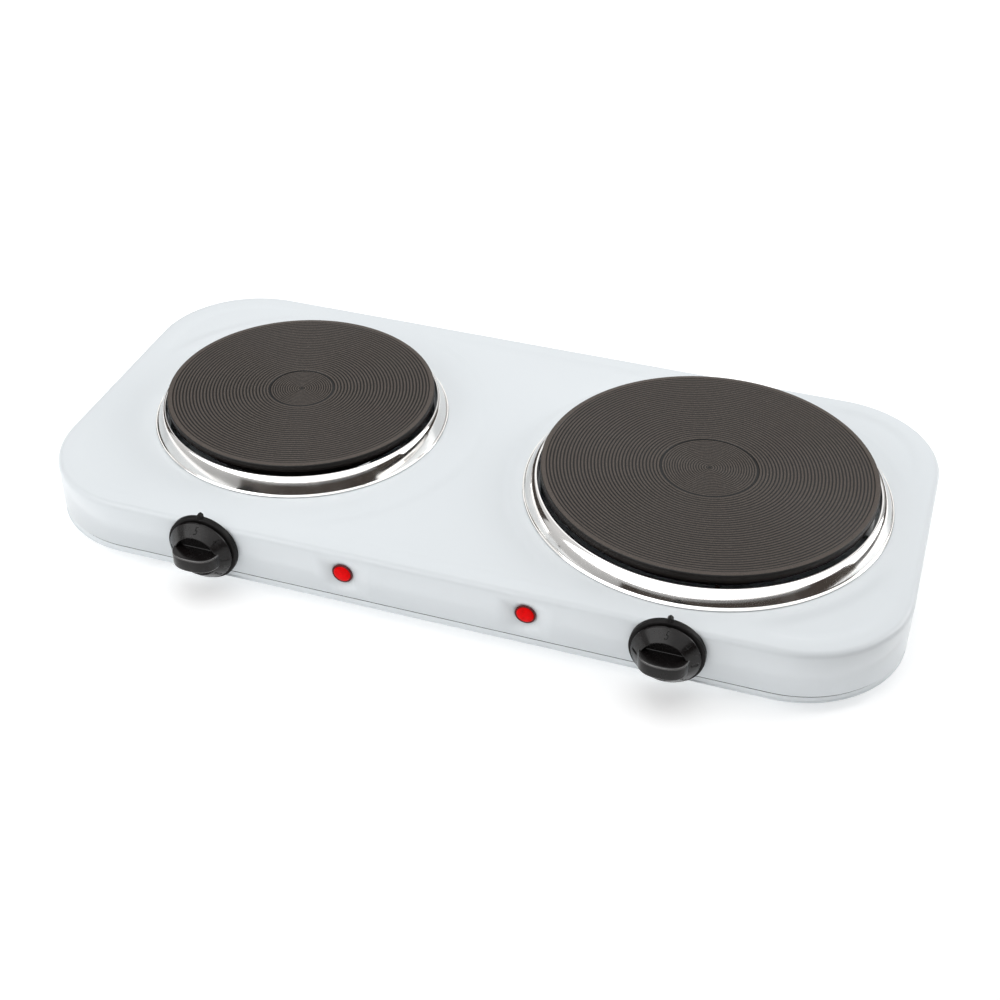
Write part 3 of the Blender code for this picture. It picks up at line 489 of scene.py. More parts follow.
def make_materials():
    return {
        "white_enamel": enamel(),
        "cast_iron": cast_iron(),
        "iron_side": iron_side(),
        "stainless": stainless(),
        "black_plastic": black_plastic(),
        "bezel_plastic": bezel_plastic(),
        "red_lens": red_lens(),
        "red_rim": red_rim(),
        # A lighter, more reflective copy of the black plastic: a painted highlight on the knob fin's edges
        "polished_edge": plain("polished_edge", (0.02, 0.018, 0.017), 0.16, Specular_IOR_Level=1.0),
        "numeral_ink": plain("numeral_ink", (0.004, 0.004, 0.004), 0.8, grain=900),
        # Near-black painted shade for the seam gap above the pan's band
        "seam_dark": plain("seam_dark", (0.02, 0.022, 0.028), 0.7, grain=900),
        "clear_glass": plain("clear_glass", (0.9, 0.85, 0.8), 0.06, Transmission_Weight=0.7, IOR=1.45),
        "ceramic": plain("ceramic", (0.78, 0.75, 0.68), 0.55, grain=900),
        "zinc_steel": plain("zinc_steel", (0.58, 0.59, 0.60), 0.34, 1.0, grain=500, spread=0.15),
        "brass": plain("brass", (0.72, 0.50, 0.20), 0.3, 1.0, grain=500),
        "rubber": plain("rubber", (0.022, 0.022, 0.022), 0.8, grain=1200, spread=0.25),
        "brown_lead": plain("brown_lead", (0.14, 0.055, 0.025), 0.55, grain=1500),
        "blue_lead": plain("blue_lead", (0.03, 0.09, 0.36), 0.55, grain=1500),
    }


# Housing


def smooth_least(values, blend):
    """The least of the values, with a rounded changeover where two come close."""
    least = values[0]
    for value in values[1:]:
        share = max(0.0, min(1.0, 0.5 + 0.5 * (value - least) / blend))
        least = value + (least - value) * share - blend * share * (1 - share)
    return least


def border_distance(x, y):
    """How far a plan point lies inside the housing's outline."""
    dx = abs(x) - (LENGTH / 2 - CORNER_RADIUS)
    dy = abs(y - HOUSING_Y) - (DEPTH / 2 - CORNER_RADIUS)
    outside = math.hypot(max(dx, 0), max(dy, 0)) + min(max(dx, dy), 0)
    return CORNER_RADIUS - outside


def deck_height(x, y):
    """The deck with its pressed pockets, which stop short of the border and the burner surrounds."""
    distances = [border_distance(x, y) - BORDER_WIDTH]
    for side in SIDES:
        center = BURNER[side]
        distances.append(math.hypot(x - center.x, y - center.y) - SURROUND[side])
    inside = smooth_least(distances, POCKET_BLEND) / POCKET_SLOPE
    t = max(0.0, min(1.0, inside))
    share = max(0.0, min(1.0, 0.5 + x / LENGTH * 2))
    depth = POCKET_DEPTH["left"] * (1 - share) + POCKET_DEPTH["right"] * share
    return DECK - depth * t * t * (3 - 2 * t)


def grid_points(pitch, keep):
    """A hexagonal grid of plan points over the housing, where keep says so."""
    rows = int(DEPTH / (pitch * 0.866)) + 1
    columns = int(LENGTH / pitch) + 1
    points = []
    for row in range(rows):
        y = FRONT_WALL + row * pitch * 0.866
        for column in range(columns):
            x = -LENGTH / 2 + (column + (row % 2) / 2) * pitch
            if keep(x, y):
                points.append((x, y))
    return points


def deck_sheet(shape):
    """The deck inside the fold, filled round the two burner openings."""
    holes = {side: PLATE_RADIUS[side] - HOLE_INSET for side in SIDES}

    def from_holes(x, y):
        return min(math.hypot(x - BURNER[s].x, y - BURNER[s].y) - holes[s] for s in SIDES)

    def inside(x, y):
        return border_distance(x, y) > FOLD_RADIUS and from_holes(x, y) > 0

    def grid_here(x, y):
        clear = 0.6 * DECK_PITCH
        return border_distance(x, y) > FOLD_RADIUS + clear and from_holes(x, y) > clear

    loops = [outline(FOLD_RADIUS)]
    loops += [circle((BURNER[s].x, BURNER[s].y), holes[s], HOLE_STEPS) for s in SIDES]
    vertices, triangles = filled(loops, grid_points(DECK_PITCH, grid_here), inside)
    add_faces(shape, vertices, triangles, lambda x, y: (x, y, deck_height(x, y)))


def skirt_sheet(shape):
    """The walls below the fold, unrolled and filled round the holes for the controls and the cord."""
    edge = outline(0)
    top = DECK - FOLD_RADIUS
    run = [0.0]
    for before, after in zip(edge, edge[1:] + edge[:1]):
        run.append(run[-1] + math.dist(before, after))
    loop = [(s, SKIRT_BOTTOM) for s in run] + [(s, top) for s in reversed(run)]

    def place(s, z):
        i = min(max(int(np.searchsorted(run, s, side="right")) - 1, 0), len(edge) - 1)
        share = (s - run[i]) / (run[i + 1] - run[i])
        a, b = edge[i], edge[(i + 1) % len(edge)]
        return (a[0] + (b[0] - a[0]) * share, a[1] + (b[1] - a[1]) * share, z)

    def along(x, front):
        """Where a point of the front or rear wall lies along the unrolled wall."""
        wall = FRONT_WALL if front else REAR_WALL
        for i, (a, b) in enumerate(zip(edge, edge[1:])):
            on_wall = abs(a[1] - wall) < 1e-6 and abs(b[1] - wall) < 1e-6
            if on_wall and min(a[0], b[0]) <= x <= max(a[0], b[0]):
                return run[i] + abs(x - a[0])
        raise ValueError("no wall at that place")

    inlet = place_of("inlet_bush")
    holes = [((along(inlet.x, False), inlet.z), INLET_HOLE)]
    for side in SIDES:
        knob = KNOB_AXIS[side]
        holes.append(((along(knob.x, True), knob.z), SHAFT_HOLE))
        holes.append(((along(LAMP[side].x, True), LAMP[side].z), LAMP_HOLE))
    loops = [loop] + [circle(center, radius, SMALL_HOLE_STEPS) for center, radius in holes]

    def inside(s, z):
        return all(math.dist((s, z), center) > radius for center, radius in holes)

    vertices, triangles = filled(loops, [], inside)
    add_faces(shape, vertices, triangles, place)


def top_housing(materials):
    """Deck, rounded fold and walls as one pressed sheet."""
    shape = bmesh.new()
    deck_sheet(shape)
    skirt_sheet(shape)
    rings = []
    for step in range(FOLD_STEPS + 1):
        angle = math.pi / 2 * step / FOLD_STEPS
        inset = FOLD_RADIUS * (1 - math.cos(angle))
        height = DECK - FOLD_RADIUS * (1 - math.sin(angle))
        rings.append([(x, y, height) for x, y in outline(inset)])
    joined_rings(shape, rings)
    bmesh.ops.remove_doubles(shape, verts=shape.verts, dist=WELD)
    housing = new_piece("housing_shell", shape, materials["white_enamel"], 50)
    thickened(housing, SHEET)
    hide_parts("top_housing")


def pan_walls(low, high, edge):
    """Rings of the pan's side: a rounded bottom edge, the band below the seam and the part inside."""
    band_top = low.z + BAND_HEIGHT
    rings = [[(x, y, low.z) for x, y in outline(edge)]]
    for out, up in arc((0, 0), PAN_BEAD, -90, 40, 8):
        rings.append([(x, y, low.z + PAN_BEAD + up) for x, y in outline(PAN_BEAD - out)])
    for inset, height in (
        (BAND_INSET, low.z + 2.1 * PAN_BEAD),
        (BAND_INSET, band_top - 0.1 * MM),
        (BAND_INSET + 0.1 * MM, band_top),
        (PAN_SHOULDER, band_top),
        (PAN_SHOULDER, high.z),
    ):
        rings.append([(x, y, height) for x, y in outline(inset)])
    return rings


def pan_holes():
    """(middle, radius, steps) of the round holes for the feet and the base screws."""
    holes = []
    for row in ROWS:
        for side in SIDES:
            foot = place_of(f"{row}_{side}_foot")
            screw = place_of(f"{row}_{side}_base_screw")
            holes.append(((foot.x, foot.y), FOOT_HOLE, 24))
            holes.append(((screw.x, screw.y), SCREW_HOLE, 20))
    return holes


def vent(x):
    """A slot with round ends, across the pan at x."""
    rear = arc((x, HOUSING_Y + VENT_REACH), VENT_RADIUS, 0, 180, 10)
    front = arc((x, HOUSING_Y - VENT_REACH), VENT_RADIUS, 180, 360, 10)
    return rear + front


def base_pan(materials):
    """Pan with a rounded bottom edge, a band that shows below the seam, vents and screw holes."""
    low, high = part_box("base_pan")
    edge = 2 * PAN_BEAD
    shape = bmesh.new()
    joined_rings(shape, pan_walls(low, high, edge))
    holes = pan_holes()
    vents = [BURNER[side].x + index * VENT_PITCH for side in SIDES for index in VENTS]
    loops = [outline(edge)] + [circle(*hole) for hole in holes] + [vent(x) for x in vents]

    def inside(x, y):
        past_end = max(abs(y - HOUSING_Y) - VENT_REACH, 0)
        if any(math.hypot(x - middle, past_end) < VENT_RADIUS - 2 * WELD for middle in vents):
            return False
        if any(math.dist((x, y), center) < radius - 2 * WELD for center, radius, _ in holes):
            return False
        return border_distance(x, y) > edge

    vertices, triangles = filled(loops, [], inside)
    add_faces(shape, vertices, triangles, lambda x, y: (x, y, low.z))
    bmesh.ops.remove_doubles(shape, verts=shape.verts, dist=WELD)
    pan = new_piece("pan_shell", shape, materials["white_enamel"], 40)
    # Painted shade: the faces above the band, in the seam gap and inside the housing, take a near-black material.
    pan.data.materials.append(materials["seam_dark"])
    for face in pan.data.polygons:
        face.material_index = int(face.center.z > low.z + BAND_HEIGHT - WELD)
    thickened(pan, PAN_SHEET)
    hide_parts("base_pan")


# Burners


def groove_band(start, end, pitch, depth, top):
    """Rounded ridges with sharp grooves between two radii, as (radius, height) points going outwards."""
    count = max(1, round((end - start) / pitch))
    points = []
    for index in range(count * GROOVE_STEPS + 1):
        ridge = abs(math.sin(math.pi * index / GROOVE_STEPS)) ** RIDGE_SHARPNESS
        radius = start + (end - start) * index / (count * GROOVE_STEPS)
        points.append((radius, top - depth * (1 - ridge)))
    return points


def hot_plate(side, materials):
    """A turned plate with grooves, a deeper circle round the middle, and a hollow underside."""
    node = f"{side}_hot_plate"
    low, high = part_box(node)
    top = high.z
    radius = PLATE_RADIUS[side]
    inner = INNER_CIRCLE[side]
    rim_bottom = top - PLATE_RIM[side]
    web = rim_bottom - PLATE_WEB
    boss = web - BOSS_DEPTH
    skirt = radius - PLATE_SKIRT
    wall = skirt - PLATE_WALL
    land = radius - PLATE_LAND
    circle_floor = top - CIRCLE_DEPTH
    profile = [(0, top - 1.1 * CENTER_DIMPLE), (CENTER_DIMPLE, top - CENTER_DIMPLE),
               (2 * CENTER_DIMPLE, top - 0.2 * CENTER_DIMPLE)]
    profile += groove_band(INNER_START, inner - INNER_MARGIN, INNER_PITCH, INNER_DEPTH, top - INNER_DROP)
    profile += [(inner - CIRCLE_WIDTH, circle_floor), (inner - 0.35 * MM, circle_floor),
                (inner, top - 0.05 * MM), (inner + 0.25 * MM, top), (inner + CIRCLE_LAND, top)]
    profile += groove_band(inner + OUTER_MARGIN, land, GROOVE_PITCH, GROOVE_DEPTH, top)
    profile += [(land + 0.4 * MM, top)]
    profile += arc((radius - PLATE_ROUND, top - PLATE_ROUND), PLATE_ROUND, 90, 0, 6)
    profile += [(radius - 0.15 * MM, rim_bottom + PLATE_CHAMFER), (radius - 0.6 * MM, rim_bottom),
                (skirt, rim_bottom), (skirt, low.z), (wall, low.z), (wall, web),
                (BOSS_RADIUS, web), (BOSS_RADIUS, boss), (0, boss)]
    place = Matrix.Translation((BURNER[side].x, BURNER[side].y, 0))
    shape = moved(turned(profile, PLATE_STEPS), place)
    plate = new_piece(f"{side}_plate", shape, materials["cast_iron"], 40, node)
    plate.data.materials.append(materials["iron_side"])
    # Painted shade: the faces below the top edge take the darker copy of the iron.
    for face in plate.data.polygons:
        face.material_index = int(face.center.z < top - SIDE_START)


def crown_curve(base, lean, tip, steps):
    """A curve from base to tip that leaves base towards lean and arrives at tip level."""
    points = []
    for step in range(steps + 1):
        t = step / steps
        near, middle, far = (1 - t) ** 2, 2 * t * (1 - t), t**2
        points.append(tuple(near * a + middle * b + far * c for a, b, c in zip(base, lean, tip)))
    return points


def trim_ring(side, materials):
    """Flat lip, steep polished flank that curves over at the top, and a hem that turns down inside."""
    node = f"{side}_trim_ring"
    low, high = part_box(node)
    outer = RING_RADIUS[side]
    inner = PLATE_RADIUS[side] + RING_GAP
    top = high.z
    seat = low.z
    foot = outer - RING_LIP
    face = seat + RING_SHEET
    lean = foot - (top - face) * math.tan(math.radians(RING_LEAN[side]))
    hem = RING_SHEET / 2
    profile = [(outer - hem / 2, seat), (outer, seat + hem / 2), (outer, face - hem / 2),
               (outer - hem / 2, face), (foot + hem, face)]
    profile += crown_curve((foot - hem / 3, face + hem), (lean, top), (inner + hem, top), 24)
    profile += [(inner + hem * 0.4, top - hem * 0.2), (inner, top - hem), (inner, top - RING_HEM)]
    profile += [(inner + RING_SHEET, top - RING_HEM), (inner + RING_SHEET, top - 1.5 * RING_SHEET)]
    inside = crown_curve((foot - RING_SHEET, seat), (lean, top - RING_SHEET),
                         (inner + 1.5 * RING_SHEET, top - RING_SHEET), 12)
    profile += inside[::-1]
    place = Matrix.Translation((BURNER[side].x, BURNER[side].y, 0))
    shape = moved(turned(profile, RING_STEPS), place)
    ring = new_piece(f"{side}_ring", shape, materials["stainless"], 30, node)


# Controls, modelled with +Z out of the wall and +Y up, then turned to face the front

KNOB_BACK = 4.5 * MM
KNOB_EDGE = 1.3 * MM
KNOB_WALL = 1.8 * MM
SKIRT_RADIUS = 18 * MM
FACE_RADIUS = 12.3 * MM
FACE = 11.3 * MM
WELL_FLOOR = 8.5 * MM
GRIP_RADIUS = 13.3 * MM
GRIP_THICKNESS = 8.2 * MM
GRIP_FULLNESS = 2.6
GRIP_BASE = 7 * MM
GRIP_ROUND = 0.9 * MM
FLANK_EDGE = 1.3 * GRIP_ROUND
GRIP_STEPS = 72
ROOT_BEAD = 0.2 * MM
BEAD_INSET = 2.2 * MM
KNOB_BOSS = 6.8 * MM
KNOB_CHAMFER = 0.2 * MM
KNOB_STEPS = 128
WELL_RIM = 0.5 * MM

# Where the knob's materials after the first stand in its list; EDGE marks the painted highlight on the fin's
# rounded edges
INK = 1
EDGE = 2

WALL_GAP = 0.3 * MM
BEZEL_ROUND = 0.8 * MM
BEZEL_RECESS = 0.5 * MM
BEZEL_WEB = 2.6 * MM
RECESS_RADIUS = 16.8 * MM
SPIGOT_RADIUS = 7 * MM
NIB_HALF = 1.4 * MM
NIB_TIP = 0.35 * MM
NIB_POINT = 0.9 * MM
NIB_ROOT = 1.2 * MM

LENS_FACE = 4.6 * MM
LENS_STEM = 4 * MM
LENS_DEPTH = 9 * MM
LENS_FLANGE = 0.9 * MM
NUMERAL_HEIGHT = 4.7 * MM
NUMERAL_DEPTH = 0.35 * MM
NUMERAL_WIDTH = 0.72
NUMERALS = (("5", 90), ("4", 45), ("3", 0), ("2", -45), ("1", -90), ("0", 180))


def fin_outline(inset, front):
    """(across, out) points of the fin's rounded top, a superellipse that starts below the well."""
    power = 2 / GRIP_FULLNESS
    radius = GRIP_RADIUS - inset
    base = GRIP_BASE + inset
    rise = front - inset - base
    points = []
    for step in range(GRIP_STEPS + 1):
        turn = math.pi * step / GRIP_STEPS
        across = math.copysign(abs(math.cos(turn)) ** power, math.cos(turn))
        points.append((radius * across, base + rise * max(math.sin(turn), 0) ** power))
    return points


def grip(front):
    """The fin, with flat flanks and rounded edges that carry a painted highlight, as outlines from one flank to
    the other.
    """
    half = GRIP_THICKNESS / 2
    rows = [(FLANK_EDGE, half)]
    for step in range(5):
        angle = math.pi / 2 * step / 4
        rows.append((GRIP_ROUND * (1 - math.sin(angle)), half - GRIP_ROUND * (1 - math.cos(angle))))
    sections = rows + [(inset, -height) for inset, height in rows[::-1]]
    shape = bmesh.new()
    loops = joined_rings(shape, [
        [(across, height, out) for across, out in fin_outline(inset, front)] for inset, height in sections
    ])
    shape.faces.new(loops[0])
    shape.faces.new(loops[-1])
    shape.normal_update()
    # Painted highlight: the rounded faces above the well's floor take the lighter edge material.
    for face in shape.faces:
        on_rounding = 0.15 < abs(face.normal.y) < 0.97
        if on_rounding and face.calc_center_median().z > WELL_FLOOR:
            face.material_index = EDGE
    return shape


def root_bead(side):
    """A small sloped bead where a flank of the fin meets the well's floor."""
    near = GRIP_THICKNESS / 2 - ROOT_BEAD
    far = GRIP_THICKNESS / 2 + ROOT_BEAD
    under = WELL_FLOOR - ROOT_BEAD
    section = [(near, under), (far, under), (far, WELL_FLOOR), (near, WELL_FLOOR + 2 * ROOT_BEAD)]
    reach = FACE_RADIUS - BEAD_INSET
    shape = bmesh.new()
    ends = joined_rings(shape, [[(x, side * y, z) for y, z in section] for x in (-reach, reach)])
    shape.faces.new(ends[0])
    shape.faces.new(ends[-1])
    return shape


def knob_body():
    """Skirt, cone and well, hollow behind."""
    edge = KNOB_BACK + KNOB_EDGE
    hollow = SKIRT_RADIUS - KNOB_WALL
    small = KNOB_CHAMFER
    rim = WELL_RIM
    profile = [
        (0, KNOB_BACK), (KNOB_BOSS, KNOB_BACK), (KNOB_BOSS, edge), (hollow, edge), (hollow, KNOB_BACK),
        (SKIRT_RADIUS - small, KNOB_BACK), (SKIRT_RADIUS, KNOB_BACK + small),
        (SKIRT_RADIUS, edge - small), (SKIRT_RADIUS - small, edge + small),
    ]
    well_rim = [(0.6, 0.6), (0.2, 0.15), (-0.3, 0), (-1, 0.4), (-1.2, 1.2)]
    profile += [(FACE_RADIUS + rim * out, FACE - rim * down) for out, down in well_rim]
    profile += [(FACE_RADIUS - rim * 1.4, WELL_FLOOR + rim), (FACE_RADIUS - rim * 2.4, WELL_FLOOR),
                (0, WELL_FLOOR)]
    return turned(profile, KNOB_STEPS)


def numeral(text, angle):
    """A figure as a solid, laid on the knob's cone at an angle round its axis."""
    curve = bpy.data.curves.new("numeral", "FONT")
    curve.body = text
    curve.align_x = "CENTER"
    curve.align_y = "CENTER"
    curve.size = NUMERAL_HEIGHT / 0.7
    curve.shear = 0.25
    curve.extrude = NUMERAL_DEPTH
    curve.resolution_u = 3
    flat = bpy.data.objects.new("numeral", curve)
    mesh = bpy.data.meshes.new_from_object(flat)
    bpy.data.objects.remove(flat)
    shape = bmesh.new()
    shape.from_mesh(mesh)
    slope_start = Vector((SKIRT_RADIUS, KNOB_BACK + KNOB_EDGE))
    slope_end = Vector((FACE_RADIUS, FACE))
    middle = (slope_start + slope_end) / 2
    tilt = math.atan2(slope_end.y - slope_start.y, slope_start.x - slope_end.x)
    narrow = Matrix.Diagonal((NUMERAL_WIDTH, 1, 1, 1))
    lean = Matrix.Translation((0, middle.x, middle.y)) @ Matrix.Rotation(-tilt, 4, "X")
    turn = Matrix.Rotation(math.radians(angle - 90), 4, "Z")
    return moved(shape, turn @ lean @ narrow)


def knob(side, materials):
    """Body and fin in one, with the figures cut into the cone."""
    node = f"{side}_knob"
    front = FRONT_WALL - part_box(node)[0].y
    finishes = [materials["black_plastic"], materials["numeral_ink"], materials["polished_edge"]]
    body = loose_piece(f"{side}_control_knob", knob_body(), finishes)
    boolean(body, loose_piece("grip", grip(front), finishes), "UNION")
    for bead_side in (-1, 1):
        boolean(body, loose_piece("bead", root_bead(bead_side)), "UNION")
    for text, angle in NUMERALS:
        cutter = loose_piece("numeral", numeral(text, angle), finishes[:2])
        cutter.data.polygons.foreach_set("material_index", [INK] * len(cutter.data.polygons))
        boolean(body, cutter, "DIFFERENCE")
    body.data.transform(facing_front(KNOB_AXIS[side]))
    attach(body, f"{side}_dial")
    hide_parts(node)


def nib(radius, tip, back, front):
    """The bezel's marker: a small pointed block on the rim, narrower at its face."""
    half = NIB_HALF
    shoulder = tip - NIB_POINT
    plan = [(-half * 1.25, radius - NIB_ROOT), (half * 1.25, radius - NIB_ROOT), (half, shoulder),
            (NIB_TIP, tip), (-NIB_TIP, tip), (-half, shoulder)]
    shape = bmesh.new()
    joined = joined_rings(shape, [
        [(x, y, back + 0.2 * MM) for x, y in plan],
        [(x, y, front - 0.8 * MM) for x, y in plan],
        [(x * 0.55, y - 0.25 * MM, front - 0.15 * MM) for x, y in plan],
    ])
    shape.faces.new(joined[0])
    shape.faces.new(joined[-1])
    return shape


def bezel(side, materials):
    """The fixed black disc behind a knob, with its marker at the top."""
    node = f"{side}_knob_bezel"
    low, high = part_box(node)
    axis = KNOB_AXIS[side]
    radius = radius_of(node)
    front = FRONT_WALL - low.y
    floor = front - BEZEL_RECESS
    profile = [(SPIGOT_RADIUS, WALL_GAP), (radius - WALL_GAP, WALL_GAP), (radius, 2 * WALL_GAP)]
    profile += arc((radius - BEZEL_ROUND, front - BEZEL_ROUND), BEZEL_ROUND, 0, 90, 6)
    profile += [(RECESS_RADIUS + 0.4 * MM, front), (RECESS_RADIUS, floor), (SHAFT_HOLE, floor),
                (SHAFT_HOLE, BEZEL_WEB), (SPIGOT_RADIUS, BEZEL_WEB)]
    ring = loose_piece(f"{side}_bezel", turned(profile, KNOB_STEPS), [materials["bezel_plastic"]])
    boolean(ring, loose_piece("nib", nib(radius, high.z - axis.z, WALL_GAP, front)), "UNION")
    ring.data.transform(facing_front(axis))
    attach(ring, "appliance")
    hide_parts(node)


def lamp(side, materials):
    """A domed lens with a thin flange, on a stem that goes in through the wall."""
    node = f"{side}_lamp_lens"
    low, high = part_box(node)
    center = Vector((LAMP[side].x, FRONT_WALL, LAMP[side].z))
    radius = radius_of(node)
    dome = radius - 0.95 * MM
    dome_base = 0.72 * MM
    dome_rise = FRONT_WALL - low.y - dome_base
    profile = [
        (0, -LENS_DEPTH), (LENS_STEM - 0.4 * MM, -LENS_DEPTH), (LENS_STEM, 0.4 * MM - LENS_DEPTH),
        (LENS_STEM, WALL_GAP), (radius - 0.1 * MM, WALL_GAP), (radius, 0.4 * MM), (radius, 0.7 * MM),
        (radius - 0.12 * MM, 0.85 * MM), (radius - 0.7 * MM, LENS_FLANGE), (radius - 0.85 * MM, 0.75 * MM),
    ]
    profile += [(dome * across, dome_base + dome_rise * up) for across, up in arc((0, 0), 1, 0, 81, 9)]
    profile.append((0, dome_base + dome_rise))
    shape = moved(turned(profile, 64), facing_front(center))
    lens = new_piece(f"{side}_lens", shape, materials["red_lens"], 40, node)
    lens.data.materials.append(materials["red_rim"])
    for face in lens.data.polygons:
        off_axis = math.hypot(face.center.x - center.x, face.center.z - center.z)
        face.material_index = int(off_axis > LENS_FACE)


# Rear and underside

FOOT_ROUND = 1.2 * MM
FOOT_CUP = 0.8 * MM
FOOT_STEM = 3.2 * MM
FOOT_BARB = 4.3 * MM
INLET_BORE = 3.8 * MM
INLET_NECK = 6 * MM
INLET_SNAP = 8 * MM
INLET_SNAP_FACE = 1.3 * MM
INLET_DEPTH = 3.3 * MM
SCREW_SHANK = 1.7 * MM
RECESS_SIZE = (3.6 * MM, 0.7 * MM, 2 * MM)


def feet(materials):
    """Turned rubber feet, cupped below, each with a barbed stem that goes up through the pan."""
    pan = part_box("base_pan")[0].z
    seat = pan - WALL_GAP
    for row in ROWS:
        for side in SIDES:
            node = f"{row}_{side}_foot"
            low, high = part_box(node)
            center = place_of(node)
            radius = radius_of(node)
            profile = [(0, FOOT_CUP), (3 * MM, FOOT_CUP), (3 * MM + FOOT_CUP, 0)]
            profile += arc((radius - FOOT_ROUND, FOOT_ROUND), FOOT_ROUND, -90, 0, 6)
            profile += [
                (radius - 0.9 * MM, pan - 0.9 * MM), (radius - 1.5 * MM, seat), (FOOT_STEM, seat),
                (FOOT_STEM, pan + 1.3 * MM), (FOOT_BARB, pan + 2.2 * MM), (2.4 * MM, high.z), (0, high.z),
            ]
            shape = moved(turned(profile, 64), Matrix.Translation((center.x, center.y, 0)))
            foot = new_piece(f"{row}_{side}_rubber_foot", shape, materials["rubber"], 35, node)


def inlet(materials):
    """The cord's bush, with a flange outside the rear wall and a snap ring inside it."""
    low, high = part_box("inlet_bush")
    center = place_of("inlet_bush")
    radius = radius_of("inlet_bush")
    out = high.y - REAR_WALL
    profile = [
        (INLET_BORE, -INLET_DEPTH), (INLET_SNAP, -INLET_DEPTH), (INLET_SNAP, -INLET_SNAP_FACE),
        (INLET_NECK, -INLET_SNAP_FACE), (INLET_NECK, WALL_GAP), (radius, WALL_GAP), (radius, 3 * WALL_GAP),
        (radius - 0.5 * MM, out - 0.5 * MM), (radius - 1.1 * MM, out),
        (INLET_BORE + 0.8 * MM, out), (INLET_BORE, out - 0.7 * MM),
    ]
    shape = moved(turned(profile, 96), facing_rear(Vector((center.x, REAR_WALL, center.z))))
    bush = new_piece("cord_bush", shape, materials["bezel_plastic"], 32, "inlet_bush")


def recess_bar(height, turn):
    """One arm of a cross recess, at a height and turned round Z."""
    place = Matrix.Translation((0, 0, height)) @ Matrix.Rotation(turn, 4, "Z")
    shape = bmesh.new()
    bmesh.ops.create_cube(shape, size=1, matrix=place @ Matrix.Diagonal((*RECESS_SIZE, 1)))
    return shape


def base_screws(materials):
    """Pan-head screws with a cross recess, under the base pan."""
    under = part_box("base_pan")[0].z - WALL_GAP
    for row in ROWS:
        for side in SIDES:
            node = f"{row}_{side}_base_screw"
            low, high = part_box(node)
            center = place_of(node)
            head = radius_of(node)
            profile = [(head * across, under - (under - low.z) * up**0.6)
                       for up, across in arc((0, 0), 1, 0, 80, 8)]
            profile += [(head, under), (SCREW_SHANK, under), (SCREW_SHANK, high.z - 1 * MM), (0, high.z)]
            piece = loose_piece(f"{row}_{side}_screw", turned(profile, 48), [materials["zinc_steel"]])
            for turn in (0, math.pi / 2):
                boolean(piece, loose_piece("recess", recess_bar(low.z, turn)), "DIFFERENCE")
            piece.data.transform(Matrix.Translation((center.x, center.y, 0)))
            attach(piece, "appliance")
            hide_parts(node)


def finish_cad_nodes(materials):
    """CAD pieces that keep their shape take the finished material of their slot."""
    slots = {part["node"]: part["material_slot"] for part in frame["record"]["subparts"]}
    for name, node in frame["nodes"].items():
        if not node.hide_render:
            node.data.materials.clear()
            node.data.materials.append(materials[slots[name]])


# Studio

CARD_DISTANCE = 1.3
CARD_STEPS = 24
CARD_FADE = 0.2
CARD_LIFT = 1 * MM
DARK_CARD = (0.03, 0.022, 0.017)
WHITE_CARD = (0.9, 0.9, 0.9)
FLAG_SIZE = 0.6
FLAG_PLACE = (0.42, -0.25, 0.2)
FLAG_TARGET = (0.2, -0.09, 0.03)
SKY_BRIGHT = (-0.55, 0.25, 0.8)
SKY_STRENGTH = (0.05, 0.7)
FLOOR_RADIUS = 9
FLOOR_GLOW = 0.34
CAMERA_LENS = 58
CAMERA_PLACE = (0.2285, -0.7061, 0.5720)
CAMERA_YAW = -17.64
CAMERA_PITCH = 37.14
CAMERA_ROLL = 0.78


def aimed(obj, target):
    """Turns an object's -Z towards a place."""
    direction = Vector(target) - obj.location
    obj.rotation_euler = direction.to_track_quat("-Z", "Y").to_euler()


def area_light(name, place, size, power):
    """A soft box that looks at the middle of the object's foot."""
    light = bpy.data.lights.new(name, "AREA")
    light.shape = "RECTANGLE"
    light.size, light.size_y = size
    light.energy = power
    obj = bpy.data.objects.new(name, light)
    obj.location = place
    aimed(obj, (0, 0, 0))
    bpy.context.scene.collection.objects.link(obj)


def hidden_from(piece, *rays):
    for ray in rays:
        setattr(piece, f"visible_{ray}", False)


def card(name, start, end, bottom, top, color, glow, fade=None):
    """A curved card, in degrees of azimuth and elevation, seen only in reflections.

    fade gives the two places along X between which its glow falls off.
    """
    rows = [
        [(x, y, CARD_DISTANCE * math.tan(math.radians(height)) + CARD_LIFT)
         for x, y in arc((0, 0), CARD_DISTANCE, start, end, CARD_STEPS)]
        for height in (bottom, top)
    ]
    shape = bmesh.new()
    low, high = [[shape.verts.new(point) for point in row] for row in rows]
    for i in range(1, len(low)):
        shape.faces.new((low[i - 1], low[i], high[i], high[i - 1]))
    piece = loose_piece(name, shape)
    surface = Shader(name, color, 0.9, Emission_Color=(1, 1, 1, 1), Emission_Strength=glow)
    if fade:
        faded = surface.range(surface.along("X", *fade), glow, glow * CARD_FADE, 0.0, 1.0)
        surface.link(faded, surface.bsdf.inputs["Emission Strength"])
    piece.data.materials.append(surface.material)
    hidden_from(piece, "camera", "diffuse", "shadow", "transmission")


def flag():
    """A dark panel that keeps light off the front right corner, and shows in nothing."""
    shape = bmesh.new()
    bmesh.ops.create_grid(shape, x_segments=1, y_segments=1, size=FLAG_SIZE / 2)
    panel = loose_piece("flag", shape)
    panel.data.materials.append(Shader("flag", DARK_CARD, 0.9).material)
    panel.location = FLAG_PLACE
    aimed(panel, FLAG_TARGET)
    hidden_from(panel, "camera", "glossy", "shadow", "transmission")


